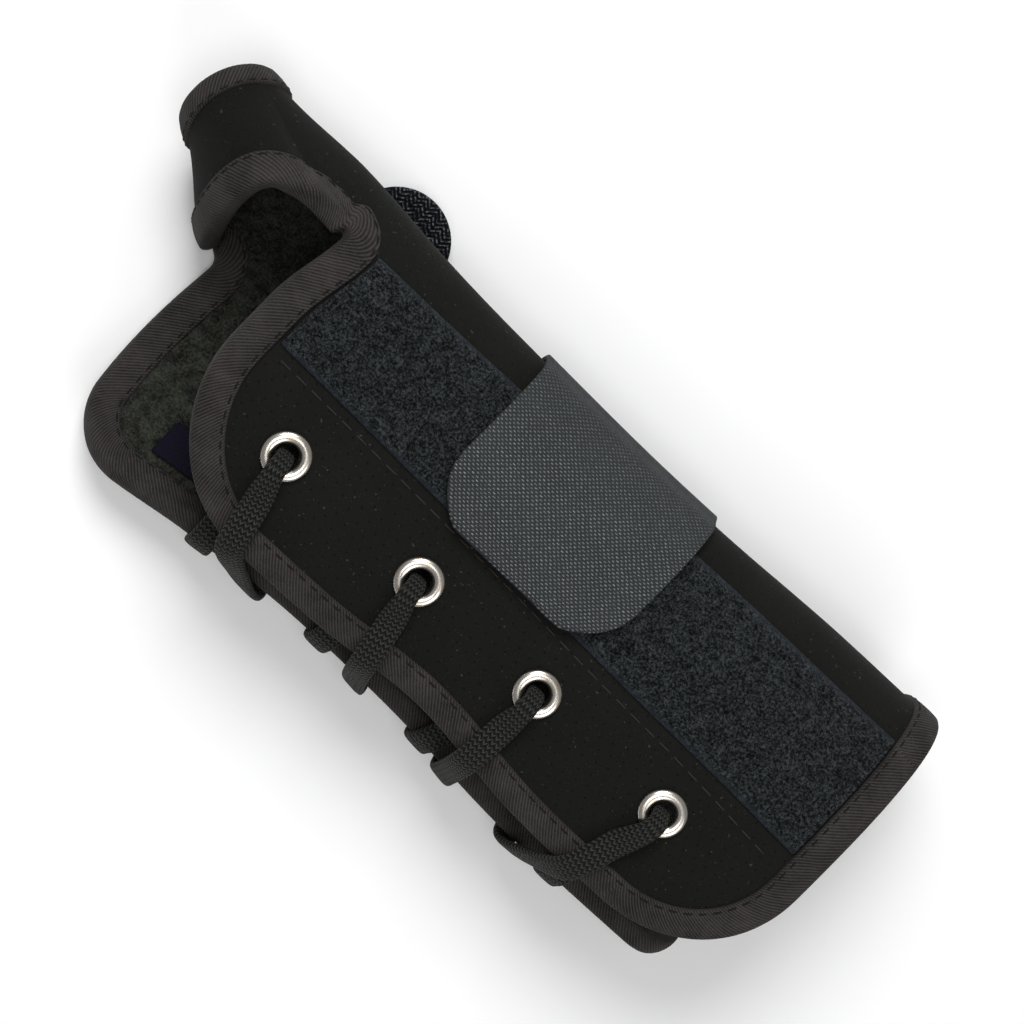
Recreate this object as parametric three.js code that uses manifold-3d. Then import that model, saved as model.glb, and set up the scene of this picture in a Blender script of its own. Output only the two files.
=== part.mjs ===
// A lace-up wrist and thumb support: a C-shaped padded sleeve that runs on into a thumb tube,
// with bound edges, four eyelets with lace loops, a pile strip, a wrist strap and a thumb strap.
// Millimetres, +Z up. It lies on its rear side: +X runs to the forearm end, +Y to the thumb side.
import * as THREE from "three";
import { mergeVertices } from "three/addons/utils/BufferGeometryUtils.js";
import Module from "manifold-3d";

const wasm = await Module();
wasm.setup();

// Overall sizes that the tables below follow as shares
const sleeveLength = 213; // thumb tip to forearm end
const sleeveWidth = 84;
const sleeveHeight = 46;

// Wall, edge tape and fits
const wall = 3;
const gap = 0.3;
const tapeThickness = 0.8;
const tapeWidth = 6.2;
const tipTapeWidth = 3.4;

// Eyelets and laces
const eyeletRadius = 5.5;
const eyeletHole = 2.8;
const eyeletBarrel = 0.6;
const eyeletFlange = 1.0;
const laceWidth = 6.2;
const laceThickness = 2.0;
const loopLean = 3.4; // how far past the eyelet the lace lies down

// Straps, pile strip and lining tape
const strapWidth = 51;
const strapThickness = 1.5;
const strapEndRadius = 12;
const tabLength = 55;
const tabWidth = 13;
const tabThickness = 2.6;
const tabCorner = 3;
const thumbStrapWidth = 24;
const thumbStrapThickness = 1.5;
const pileThickness = 1.2;
const liningTapeThickness = 0.8;

// Shape of the sleeve's section: a squarish oval, measured in degrees from the thumb side over the top
const squareness = 0.85;
const flapAngle = 142;
const rearAngle = -168;
const thumbFrontAngle = 47;
const thumbRearAngle = -83;

// Corner radii of the panels, as they lie flat
const flapHandRadius = 32;
const flapForearmRadius = 29;
const rearHandRadius = 14;
const rearForearmRadius = 9;
const palmCornerRadius = 2.6;
const crotchRadius = 5;
const palmHollow = 3; // how far the front's hand edge draws back at the palm corner
const palmHollowLength = 22;
const rearBulge = 2; // how far the rear's hand edge swells at its middle

// One row for each section of the sleeve. along is a share of the length, thumbSide, flapEdge and rearEdge
// are shares of the width, bottom and top of the height, and opened is how far the rear edge stays uncurled.
const sectionTable = [
  { along: -0.4, thumbSide: 0.485, flapEdge: -0.395, rearEdge: -0.535, bottom: 0.02, top: 0.9, opened: 22 },
  { along: -0.31, thumbSide: 0.478, flapEdge: -0.405, rearEdge: -0.535, bottom: 0.042, top: 0.92, opened: 18 },
  { along: -0.2, thumbSide: 0.458, flapEdge: -0.42, rearEdge: -0.492, bottom: 0.064, top: 0.91, opened: 5 },
  { along: -0.06, thumbSide: 0.447, flapEdge: -0.418, rearEdge: -0.458, bottom: 0.088, top: 0.89, opened: 0 },
  { along: 0.08, thumbSide: 0.447, flapEdge: -0.388, rearEdge: -0.46, bottom: 0.09, top: 0.9, opened: 0 },
  { along: 0.22, thumbSide: 0.455, flapEdge: -0.425, rearEdge: -0.487, bottom: 0.08, top: 0.93, opened: 0 },
  { along: 0.36, thumbSide: 0.482, flapEdge: -0.43, rearEdge: -0.492, bottom: 0.045, top: 0.97, opened: 2 },
  { along: 0.5, thumbSide: 0.49, flapEdge: -0.43, rearEdge: -0.49, bottom: 0.024, top: 0.985, opened: 4 },
];

// Where the sleeve's two ends are cut, as shares of the length, from the rear over the thumb side to the front
const handCut = { rear: -0.346, front: -0.303 };
const forearmCut = { rear: 0.484, thumbSide: 0.5, front: 0.49 };

// The edge of the thumb tube across the palm, from the front corner round to the crotch at the rear.
// along, across and height are shares of length, width and height, and turn is the tip's angle it leads to.
const palmArcTable = [
  { along: -0.318, across: 0.348, height: 0.826, turn: 62 },
  { along: -0.334, across: 0.346, height: 0.85, turn: 71 },
  { along: -0.361, across: 0.329, height: 0.868, turn: 86 },
  { along: -0.384, across: 0.292, height: 0.86, turn: 103 },
  { along: -0.395, across: 0.238, height: 0.8, turn: 120 },
  { along: -0.396, across: 0.167, height: 0.68, turn: 143 },
  { along: -0.39, across: 0.101, height: 0.52, turn: 168 },
  { along: -0.383, across: 0.067, height: 0.35, turn: 190 },
  { along: -0.376, across: 0.06, height: 0.18, turn: 208 },
];
const thumbFrontTurn = 50;
const crotchTurn = 226;
// How straight the tube's columns start for the tip: off the wall, off the arc, share of the arc to change over
const wallAim = 0.3;
const arcAim = 0.9;
const aimEase = 0.35;

// The thumb tube's tip
const tip = { along: -0.456, across: 0.36, height: 0.38 };
const tipHalfWidth = 10.7;
const tipHalfDepth = 12.6;
const tipSwing = 22.4; // degrees from the sleeve's line towards the thumb side
const tipDip = 11; // degrees below level
const tipSkew = 4.2; // how much longer the front is than the rear

// Where the eyelets sit, and where their lace loops cross the edges, as shares of the length
const eyeletAcross = -0.172;
const laceTable = [
  { eyelet: -0.19, overFlap: -0.166, overRear: -0.106, tabOut: 0.016, underRear: -0.177, tabIn: -0.02 },
  { eyelet: -0.009, overFlap: 0.011, overRear: 0.04, tabOut: 0.08, underRear: -0.02, tabIn: 0.048 },
  { eyelet: 0.155, overFlap: 0.156, overRear: 0.171, tabOut: 0.144, underRear: 0.129, tabIn: 0.112 },
  { eyelet: 0.331, overFlap: 0.305, overRear: 0.271, tabOut: 0.176, underRear: 0.33, tabIn: 0.208 },
];

// Places on the sleeve: the wrist strap, its lace tab, the thumb strap and the pile strip
const strapAtFront = 0.047; // middle of the strap at its free end, share of the length
const strapAtRear = 0.078;
const strapFreeEnd = -0.014; // share of the width
const tabAcross = -0.13;
const thumbStrapAt = -0.2385;
const thumbStrapEnd = 0.545;
const thumbStrapStart = -0.02;
const thumbStrapRise = 0.13; // how much it rises per millimetre past the sleeve
const pileHand = { ulnar: 0.02, thumb: 0.332 };
const pileForearm = { ulnar: -0.015, thumb: 0.37 };
const pileSeat = tapeWidth + 3 * gap; // from the sleeve's ends
const liningTape = { from: -0.27, to: -0.205, near: 9, far: 16 };

const quarter = 90; // degrees
const radians = THREE.MathUtils.degToRad;
const clamp = THREE.MathUtils.clamp;
const lerp = THREE.MathUtils.lerp;
const vector = (x, y, z) => new THREE.Vector3(x, y, z);
const smooth = (t) => t * t * (3 - 2 * t);

// A smooth curve through one column of a table, read at a place along another column
function column(table, place, name, at) {
  const last = table.length - 1;
  const x = clamp(at, table[0][place], table[last][place]);
  let i = 0;
  while (i < last - 1 && x > table[i + 1][place]) i += 1;
  const slope = (k) => {
    const a = Math.max(k - 1, 0);
    const b = Math.min(k + 1, last);
    return (table[b][name] - table[a][name]) / (table[b][place] - table[a][place]);
  };
  const span = table[i + 1][place] - table[i][place];
  const t = (x - table[i][place]) / span;
  const h = t * t * (3 - 2 * t);
  return (
    table[i][name] * (1 - h) +
    table[i + 1][name] * h +
    span * (t * (1 - t) * (1 - t) * slope(i) - t * t * (1 - t) * slope(i + 1))
  );
}

const power = (value, exponent) => Math.sign(value) * Math.abs(value) ** exponent;

// The sizes of the sleeve's section at x
function sectionAt(x) {
  const read = (name) => column(sectionTable, "along", name, x / sleeveLength);
  const bottom = read("bottom") * sleeveHeight;
  const top = read("top") * sleeveHeight;
  const edgeAngle = rearAngle + read("opened");
  const reach = (angle) => Math.abs(Math.cos(radians(angle))) ** squareness;
  return {
    edgeAngle,
    middle: (bottom + top) / 2,
    half: (top - bottom) / 2,
    thumbSide: read("thumbSide") * sleeveWidth,
    front: (-read("flapEdge") * sleeveWidth) / reach(flapAngle),
    rear: (-read("rearEdge") * sleeveWidth) / reach(edgeAngle),
  };
}

// A point of the sleeve's outer face: x, and the angle round the section in degrees
function sleevePoint(x, angle) {
  const s = sectionAt(x);
  const turned = angle < -90 ? -90 + ((angle + 90) * (s.edgeAngle + 90)) / (rearAngle + 90) : angle;
  const c = Math.cos(radians(turned));
  const across = c >= 0 ? s.thumbSide : turned > 0 ? s.front : s.rear;
const height = s.middle + s.half * power(Math.sin(radians(turned)), squareness);
  return vector(x, across * power(c, squareness), height);
}

// The sleeve's outward normal there, from two small steps
function sleeveNormal(x, angle) {
  const round = sleevePoint(x, angle + 1).sub(sleevePoint(x, angle - 1));
  const along = sleevePoint(x + 0.5, angle).sub(sleevePoint(x - 0.5, angle));
  return round.cross(along).normalize();
}

// The point and normal at a height above the outer face
function above(x, angle, height) {
  const normal = sleeveNormal(x, angle);
  return { point: sleevePoint(x, angle).addScaledVector(normal, height), normal };
}

// The angle at which the section at x reaches the place y, on the front or on the rear
function angleAt(x, y, side = 1) {
  const s = sectionAt(x);
  const half = y >= 0 ? s.thumbSide : side > 0 ? s.front : s.rear;
  const c = power(clamp(y / half, -1, 1), 1 / squareness);
  return side * THREE.MathUtils.radToDeg(Math.acos(c));
}

// How far along the section's outer face an angle lies from another, at x
function arcLength(x, from, to, steps = 12) {
  let length = 0;
  for (let i = 0; i < steps; i += 1) {
    const a = sleevePoint(x, lerp(from, to, i / steps));
    length += a.distanceTo(sleevePoint(x, lerp(from, to, (i + 1) / steps)));
  }
  return length;
}

// How far a rounded corner of that radius cuts back, at a distance from the edge
const cutBack = (radius, distance) =>
  distance >= radius ? 0 : radius - Math.sqrt(radius ** 2 - (radius - distance) ** 2);

// Columns round the sleeve: angles from the rear edge to the flap edge, closer together at each corner
const roundSteps = { rearEdge: 5, rear: 8, thumb: 10, front: 8, flapEdge: 6 };

function spread(from, to, count, easeStart, easeEnd) {
  const ease = (t) => {
    if (easeStart && easeEnd) return (1 - Math.cos(Math.PI * t)) / 2;
    if (easeStart) return 1 - Math.cos((Math.PI / 2) * t);
    return easeEnd ? Math.sin((Math.PI / 2) * t) : t;
  };
  return Array.from({ length: count }, (_, i) => lerp(from, to, ease(i / count)));
}

const edgeBand = { rear: -142, flap: 104 };
const crotchBand = -92;
const palmBand = 66;
const bandSteps = 3;
const columnAngles = [
  ...spread(rearAngle, edgeBand.rear, roundSteps.rearEdge, true, false),
  ...spread(edgeBand.rear, crotchBand, roundSteps.rear - bandSteps, false, false),
  ...spread(crotchBand, thumbRearAngle, bandSteps, false, true),
  ...spread(thumbRearAngle, thumbFrontAngle, roundSteps.thumb, false, false),
  ...spread(thumbFrontAngle, palmBand, bandSteps, true, false),
  ...spread(palmBand, edgeBand.flap, roundSteps.front - bandSteps, false, false),
  ...spread(edgeBand.flap, flapAngle, roundSteps.flapEdge, false, true),
  flapAngle,
];
const columnOf = (angle) =>
  columnAngles.reduce((best, a, i) => (Math.abs(a - angle) < Math.abs(columnAngles[best] - angle) ? i : best), 0);
const crotchColumn = columnOf(thumbRearAngle);
const palmColumn = columnOf(thumbFrontAngle);

// The sleeve's cut at the hand end, for a column's angle
function handEnd(angle) {
  const rear = handCut.rear * sleeveLength;
  const front = handCut.front * sleeveLength;
  if (angle <= thumbRearAngle) {
    const [done, left] = [arcLength(rear, rearAngle, angle), arcLength(rear, angle, thumbRearAngle)];
    const swell = rearBulge * Math.sin((Math.PI * done) / (done + left));
    return rear - swell + cutBack(rearHandRadius, done) - cutBack(crotchRadius, left);
  }
  if (angle >= thumbFrontAngle) {
    const done = arcLength(front, thumbFrontAngle, angle);
    const hollow = palmHollow * smooth(clamp(1 - done / palmHollowLength, 0, 1));
    const outer = cutBack(flapHandRadius, arcLength(front, angle, flapAngle));
    return front + hollow + outer - cutBack(palmCornerRadius, done);
  }
  const t = (angle - thumbRearAngle) / (thumbFrontAngle - thumbRearAngle);
  return lerp(rear - crotchRadius, front + palmHollow - palmCornerRadius, smooth(t));
}

// The sleeve's cut at the forearm end
function forearmEnd(angle) {
  const rear = forearmCut.rear * sleeveLength;
  const front = forearmCut.front * sleeveLength;
  const side = forearmCut.thumbSide * sleeveLength;
  const level = lerp(side, angle < 0 ? rear : front, smooth(clamp(Math.abs(angle) / quarter, 0, 1)));
  const edge = Math.min(arcLength(rear, rearAngle, angle), rearForearmRadius);
  const flap = Math.min(arcLength(front, angle, flapAngle), flapForearmRadius);
  return level - cutBack(rearForearmRadius, edge) - cutBack(flapForearmRadius, flap);
}

// The sleeve and thumb tube as one grid of outer points.
// Rows run from the forearm end to the hand end, then up the thumb tube, whose columns close on themselves.
const sleeveRows = 16;
const thumbRows = 6;
const arcSteps = 18;

function tipPoint(turn) {
  const swing = radians(tipSwing);
  const dip = radians(tipDip);
  const axis = vector(-Math.cos(swing) * Math.cos(dip), Math.sin(swing) * Math.cos(dip), -Math.sin(dip));
  const aside = vector(Math.sin(swing), Math.cos(swing), 0);
  const up = aside.clone().cross(axis).normalize();
  const a = radians(turn);
  return {
    axis,
    point: vector(tip.along * sleeveLength, tip.across * sleeveWidth, tip.height * sleeveHeight)
      .addScaledVector(aside, tipHalfWidth * Math.cos(a))
      .addScaledVector(up, tipHalfDepth * Math.sin(a))
      .addScaledVector(axis, tipSkew * Math.sin(a)),
  };
}

// The thumb tube's base: the sleeve's own cut from crotch to palm corner, then the arc across the palm
function thumbBase() {
  const base = [];
  for (let j = crotchColumn; j <= palmColumn; j += 1) {
    const angle = columnAngles[j];
    const x = handEnd(angle);
    const rearTurn = (angle / thumbRearAngle) * (crotchTurn - 4 * quarter);
    const turn = angle < 0 ? rearTurn : (angle / thumbFrontAngle) * thumbFrontTurn;
    const back = sleevePoint(x + 1, angle);
    const point = sleevePoint(x, angle);
    base.push({ point, turn, lead: point.clone().sub(back).normalize(), aim: wallAim });
  }
  const first = base[0];
  const last = base[base.length - 1];
  const along = (p) => vector(p.along * sleeveLength, p.across * sleeveWidth, p.height * sleeveHeight);
  const stub = 2.2;
  const route = [
    last.point.clone().addScaledVector(last.lead, -stub),
    last.point,
    ...palmArcTable.map(along),
    first.point,
    first.point.clone().addScaledVector(first.lead, -stub),
  ];
  const turns = [thumbFrontTurn, thumbFrontTurn, ...palmArcTable.map((p) => p.turn), crotchTurn, crotchTurn];
  const curve = new THREE.CatmullRomCurve3(route, false, "centripetal");
  const spans = route.length - 1;
  const atSpan = (s) => curve.getPoint(s / spans);
  const arc = [];
  for (let i = 1; i < arcSteps; i += 1) {
    const s = 1 + ((spans - 2) * i) / arcSteps;
    const k = Math.floor(s);
    const turn = lerp(turns[k], turns[Math.min(k + 1, spans)], s - k);
    const away = Math.min(i, arcSteps - i) / (arcSteps * aimEase);
    const aim = lerp(wallAim, arcAim, smooth(Math.min(away, 1)));
    arc.push({ point: atSpan(s), turn, lead: last.lead.clone().lerp(first.lead, i / arcSteps), aim });
  }
  return { loop: [...base, ...arc], joined: base.length };
}

function buildSurface() {
  const points = [];
  const quads = [];
  const add = (p) => points.push(p) - 1;
  const rows = [];
  for (let i = 0; i <= sleeveRows; i += 1) {
    rows.push(
      columnAngles.map((angle) => {
        const t = (1 - Math.cos((Math.PI * i) / sleeveRows)) / 2;
        const x = lerp(forearmEnd(angle), handEnd(angle), lerp(i / sleeveRows, t, 0.6));
        return add(sleevePoint(x, angle));
      }),
    );
  }
  const { loop, joined } = thumbBase();
  const hand = rows[sleeveRows];
  const thumb = [loop.map((b, j) => (j < joined ? hand[crotchColumn + j] : add(b.point)))];
  for (let i = 1; i <= thumbRows; i += 1) {
    const t = i / thumbRows;
    thumb.push(
      loop.map((b) => {
        const end = tipPoint(b.turn);
        const chord = end.point.clone().sub(b.point);
        const reach = chord.length();
        const straight = chord.clone().normalize();
        const start = b.lead.clone().lerp(straight, b.aim).normalize();
        const finish = end.axis.clone().lerp(straight, 0.75).normalize();
        return add(
          b.point
            .clone()
            .multiplyScalar(1 - smooth(t))
            .addScaledVector(end.point, smooth(t))
            .addScaledVector(start, reach * t * (1 - t) ** 2)
            .addScaledVector(finish, -reach * t * t * (1 - t)),
        );
      }),
    );
  }
  for (let i = 0; i < sleeveRows; i += 1)
    for (let j = 0; j + 1 < columnAngles.length; j += 1)
      quads.push([rows[i][j], rows[i + 1][j], rows[i + 1][j + 1], rows[i][j + 1]]);
  for (let i = 0; i < thumbRows; i += 1)
    for (let j = 0; j < loop.length; j += 1) {
      const k = (j + 1) % loop.length;
      quads.push([thumb[i][j], thumb[i + 1][j], thumb[i + 1][k], thumb[i][k]]);
    }
  return { points, quads, rows, thumb, joined };
}

function normalsOf(points, quads) {
  const normals = points.map(() => vector(0, 0, 0));
  for (const q of quads) {
    const face = points[q[2]].clone().sub(points[q[0]]).cross(points[q[3]].clone().sub(points[q[1]]));
    for (const i of q) normals[i].add(face);
  }
  return normals.map((n) => n.normalize());
}

// A geometry from points and faces, each a triangle or a quad
function solidFrom(points, quads) {
  const positions = points.flatMap((p) => [p.x, p.y, p.z]);
  const index = quads.flatMap(([a, b, c, d]) => (d === undefined ? [a, b, c] : [a, b, c, a, c, d]));
  const geometry = new THREE.BufferGeometry();
  geometry.setAttribute("position", new THREE.Float32BufferAttribute(positions, 3));
  geometry.setIndex(index);
  return geometry;
}

// A sheet of points and quads given a thickness inwards
function thickened(points, inner, quads) {
  const count = points.length;
  const edges = new Map();
  for (const q of quads)
    q.forEach((a, i) => {
      const b = q[(i + 1) % q.length];
      if (edges.has(`${b},${a}`)) edges.delete(`${b},${a}`);
      else edges.set(`${a},${b}`, [a, b]);
    });
  const faces = quads.map((q) => [...q]);
  for (const q of quads) faces.push([...q].reverse().map((i) => i + count));
  for (const [a, b] of edges.values()) faces.push([b, a, a + count, b + count]);
  return solidFrom([...points, ...inner], faces);
}

// A band swept along stations, each a ring of points in the same order
function swept(rings, closed) {
  const size = rings[0].length;
  const faces = [];
  const last = closed ? rings.length : rings.length - 1;
  for (let i = 0; i < last; i += 1)
    for (let j = 0; j < size; j += 1) {
      const k = (j + 1) % size;
      const n = (i + 1) % rings.length;
      faces.push([i * size + j, i * size + k, n * size + k, n * size + j]);
    }
  if (!closed) {
    const cap = THREE.ShapeUtils.triangulateShape(flattened(rings[0]), []);
    const start = cap.map(([a, b, c]) => [c, b, a]);
    const end = cap.map((t) => t.map((i) => i + (rings.length - 1) * size));
    faces.push(...start, ...end);
  }
  return outward(solidFrom(rings.flat(), faces));
}

// A ring of points seen flat, for closing an end
function flattened(ring) {
  const middle = ring.reduce((sum, p) => sum.add(p), vector(0, 0, 0)).divideScalar(ring.length);
  const normal = vector(0, 0, 0);
  ring.forEach((p, i) => normal.add(p.clone().sub(middle).cross(ring[(i + 1) % ring.length].clone().sub(middle))));
  normal.normalize();
  const u = ring[0].clone().sub(middle).normalize();
  const v = normal.clone().cross(u);
  return ring.map((p) => new THREE.Vector2(p.clone().sub(middle).dot(u), p.clone().sub(middle).dot(v)));
}

// Faces turned outwards where a sweep's direction made them point in
function outward(geometry) {
  const p = geometry.getAttribute("position");
  const index = geometry.getIndex().array;
  const at = (i) => vector(p.getX(i), p.getY(i), p.getZ(i));
  let volume = 0;
  for (let i = 0; i < index.length; i += 3)
    volume += at(index[i]).dot(at(index[i + 1]).cross(at(index[i + 2])));
  if (volume < 0)
    for (let i = 0; i < index.length; i += 3) [index[i + 1], index[i + 2]] = [index[i + 2], index[i + 1]];
  return geometry;
}

// Joining and cutting
function toManifold(geometry) {
  const merged = mergeVertices(geometry, 1e-4);
  return new wasm.Manifold(
    new wasm.Mesh({
      numProp: 3,
      vertProperties: new Float32Array(merged.getAttribute("position").array),
      triVerts: new Uint32Array(merged.getIndex().array),
    }),
  );
}

function fromManifold(solid) {
  const mesh = solid.getMesh();
  const geometry = new THREE.BufferGeometry();
  geometry.setAttribute("position", new THREE.BufferAttribute(new Float32Array(mesh.vertProperties), 3));
  geometry.setIndex(new THREE.BufferAttribute(new Uint32Array(mesh.triVerts), 1));
  return geometry;
}

function bare(geometry) {
  geometry.deleteAttribute("normal");
  geometry.deleteAttribute("uv");
  return geometry;
}

const surface = buildSurface();
const normals = normalsOf(surface.points, surface.quads);

// The eyelets' places on the flap
const eyelets = laceTable.map((row) => {
  const x = row.eyelet * sleeveLength;
  return above(x, angleAt(x, eyeletAcross * sleeveWidth), 0);
});

function placedAlong(geometry, { point, normal }) {
  const turn = new THREE.Quaternion().setFromUnitVectors(vector(0, 1, 0), normal);
  return geometry.applyQuaternion(turn).translate(point.x, point.y, point.z);
}

const lining = surface.points.map((p, i) => p.clone().addScaledVector(normals[i], -wall));
const sleeveBody = toManifold(thickened(surface.points, lining, surface.quads));

function sleeveShell() {
  let shell = sleeveBody;
  const holeRadius = eyeletHole + eyeletBarrel + gap;
  for (const place of eyelets) {
    const drill = bare(new THREE.CylinderGeometry(holeRadius, holeRadius, 4 * wall, 16));
    shell = shell.subtract(toManifold(placedAlong(drill, place)));
  }
  return fromManifold(shell);
}

// Rims as lists of vertex numbers, with the neighbour inside each
function rims() {
  const { rows, thumb, joined } = surface;
  const last = columnAngles.length - 1;
  const forearm = columnAngles.map((_, j) => ({ at: rows[0][j], inside: rows[1][j] }));
  const flap = rows.slice(1).map((row) => ({ at: row[last], inside: row[last - 1] }));
  const front = [];
  for (let j = last - 1; j > palmColumn; j -= 1)
    front.push({ at: rows[sleeveRows][j], inside: rows[sleeveRows - 1][j] });
  const corner = [{ at: thumb[0][joined - 1], inside: rows[sleeveRows - 1][palmColumn - 1] }];
  const arc = thumb[0].slice(joined).map((at, j) => ({ at, inside: thumb[1][joined + j] }));
  const crotch = [{ at: thumb[0][0], inside: rows[sleeveRows - 1][crotchColumn + 1] }];
  const rear = [];
  for (let j = crotchColumn - 1; j > 0; j -= 1)
    rear.push({ at: rows[sleeveRows][j], inside: rows[sleeveRows - 1][j] });
  const rearEdge = rows.slice(1).map((row) => ({ at: row[0], inside: row[1] }));
  rearEdge.reverse();
  const tipRing = thumb[thumbRows].map((at, j) => ({ at, inside: thumb[thumbRows - 1][j] }));
  return { forearm, flap, hand: [...front, ...corner, ...arc, ...crotch, ...rear], rearEdge, tipRing };
}

// Frames along a rim: point, outward normal, inward direction in the wall, and how the wall curves that way
function rimFrames(rim, closed) {
  const at = rim.map((r) => surface.points[r.at]);
  return rim.map((r, i) => {
    const before = closed ? at[(i + rim.length - 1) % rim.length] : at[Math.max(i - 1, 0)];
    const after = closed ? at[(i + 1) % rim.length] : at[Math.min(i + 1, rim.length - 1)];
    const tangent = after.clone().sub(before).normalize();
    const normal = normals[r.at].clone().addScaledVector(tangent, -normals[r.at].dot(tangent)).normalize();
    const inward = tangent.clone().cross(normal).normalize();
    const step = surface.points[r.inside].clone().sub(at[i]);
    if (inward.dot(step) < 0) inward.negate();
    const bend = normals[r.inside].clone().sub(normals[r.at]).dot(inward) / Math.max(step.dot(inward), 0.8);
    return { point: at[i], normal, inward, bend: clamp(bend, -0.045, 0.045) };
  });
}

// The edge tape's section: a channel over the wall's edge, following the wall inwards
function tapeRing(frame, extra = 0, reach = tapeWidth) {
  const place = (inset, height) => {
    const turn = frame.bend * inset;
    const curved = Math.abs(turn) > 1e-6;
    const along = curved ? Math.sin(turn) / frame.bend : inset;
    const drop = curved ? (1 - Math.cos(turn)) / frame.bend : 0;
    const level = frame.normal.clone().multiplyScalar(Math.cos(turn));
    const normal = level.addScaledVector(frame.inward, Math.sin(turn));
    return frame.point
      .clone()
      .addScaledVector(frame.inward, along)
      .addScaledVector(frame.normal, -drop)
      .addScaledVector(normal, height);
  };
  const outer = gap + tapeThickness + extra;
  const width = reach + extra;
  return [
    place(width, outer * 0.85),
    place(0, outer),
    place(-outer, -wall * 0.15),
    place(-outer, -wall * 0.85),
    place(0, -wall - outer),
    place(width, -wall - outer * 0.85),
  ];
}

// The sleeve with the fit gap added all round, holes left for what passes through the eyelets
const everyRim = rims();
function grownSleeve() {
  const push = surface.points.map(() => vector(0, 0, 0));
  const open = [...everyRim.forearm, ...everyRim.flap, ...everyRim.hand, ...everyRim.rearEdge];
  for (const rim of [open, everyRim.tipRing])
    rimFrames(rim, true).forEach((f, i) => push[rim[i].at].copy(f.inward).multiplyScalar(-gap));
  const pushed = surface.points.map((p, i) => p.clone().add(push[i]));
  const offset = (height) => pushed.map((p, i) => p.clone().addScaledVector(normals[i], height));
  return toManifold(thickened(offset(gap), offset(-wall - gap), surface.quads)).add(sleeveBody);
}
const grown = grownSleeve();

// What is left of a piece outside the grown sleeve: its largest body
function trimmed(geometry, ...cutters) {
  const left = toManifold(geometry).subtract(wasm.Manifold.union(cutters)).simplify(0.03).decompose();
  return fromManifold(left.reduce((best, s) => (s.volume() > best.volume() ? s : best)));
}

// A sheet that lies on the sleeve between two heights, columns across its width and rows along it
function sheetOn(place, low, high, rowCount, columnCount) {
  const upper = [];
  const lower = [];
  const quads = [];
  for (let i = 0; i <= rowCount; i += 1)
    for (let j = 0; j <= columnCount; j += 1) {
      const { x, angle, lift = 0 } = place(i / rowCount, j / columnCount);
      upper.push(above(x, angle, high + lift).point);
      lower.push(above(x, angle, low + lift).point);
      if (i < rowCount && j < columnCount) {
        const a = i * (columnCount + 1) + j;
        quads.push([a, a + 1, a + columnCount + 2, a + columnCount + 1]);
      }
    }
  return outward(thickened(upper, lower, quads));
}

function pileStrip() {
  const across = (end, w) => lerp(end.ulnar, end.thumb, w) * sleeveWidth;
  return sheetOn(
    (t, w) => {
      const handAngle = angleAt(handCut.front * sleeveLength, across(pileHand, w));
      const forearmAngle = angleAt(forearmCut.front * sleeveLength, across(pileForearm, w));
      const x = lerp(handEnd(handAngle) + pileSeat, forearmEnd(forearmAngle) - pileSeat, t);
      return { x, angle: angleAt(x, lerp(across(pileHand, w), across(pileForearm, w), t)) };
    },
    gap,
    gap + pileThickness,
    11,
    6,
  );
}

// The wrist strap: from its rounded free end on the pile, round the thumb side, to the tab underneath
const strapClear = pileThickness + 2.7 * gap;
function wristStrap() {
  const startAngle = angleAt(strapAtFront * sleeveLength, strapFreeEnd * sleeveWidth);
  const endAngle = angleAt(strapAtRear * sleeveLength, tabAcross * sleeveWidth + tabWidth / 2 + gap, -1);
  const perDegree = arcLength(strapAtFront * sleeveLength, startAngle - 20, startAngle) / 20;
  return sheetOn(
    (t, w) => {
      const side = strapWidth * (w - 0.5);
      const edge = strapWidth / 2 - Math.abs(side);
      const first = startAngle - cutBack(strapEndRadius, edge) / perDegree;
      const angle = lerp(first, endAngle, t);
      const x = lerp(strapAtFront, strapAtRear, (startAngle - angle) / (startAngle - endAngle)) * sleeveLength + side;
      const onPile = smooth(clamp((angle - 14) / 16, 0, 1));
      return { x, angle, lift: (strapClear - gap) * onPile };
    },
    gap,
    gap + strapThickness,
    18,
    8,
  );
}

// A flat plate with rounded corners, lying level
function plate(width, depth, thickness, radius, x, y, z) {
  const shape = new THREE.Shape();
  const w = width / 2;
  const d = depth / 2;
  shape.moveTo(-w + radius, -d);
  shape.lineTo(w - radius, -d);
  shape.quadraticCurveTo(w, -d, w, -d + radius);
  shape.lineTo(w, d - radius);
  shape.quadraticCurveTo(w, d, w - radius, d);
  shape.lineTo(-w + radius, d);
  shape.quadraticCurveTo(-w, d, -w, d - radius);
  shape.lineTo(-w, -d + radius);
  shape.quadraticCurveTo(-w, -d, -w + radius, -d);
  const solid = new THREE.ExtrudeGeometry(shape, { depth: thickness, bevelEnabled: false, curveSegments: 4 });
  return bare(mergeVertices(bare(solid.translate(x, y, z))));
}

// The tab that gathers the laces, grown by an extra on request
function tab(extra = 0) {
  const [x, y] = [strapAtRear * sleeveLength, tabAcross * sleeveWidth];
  return plate(tabLength + 2 * extra, tabWidth + 2 * extra, tabThickness + extra, tabCorner, x, y, 0);
}

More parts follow.
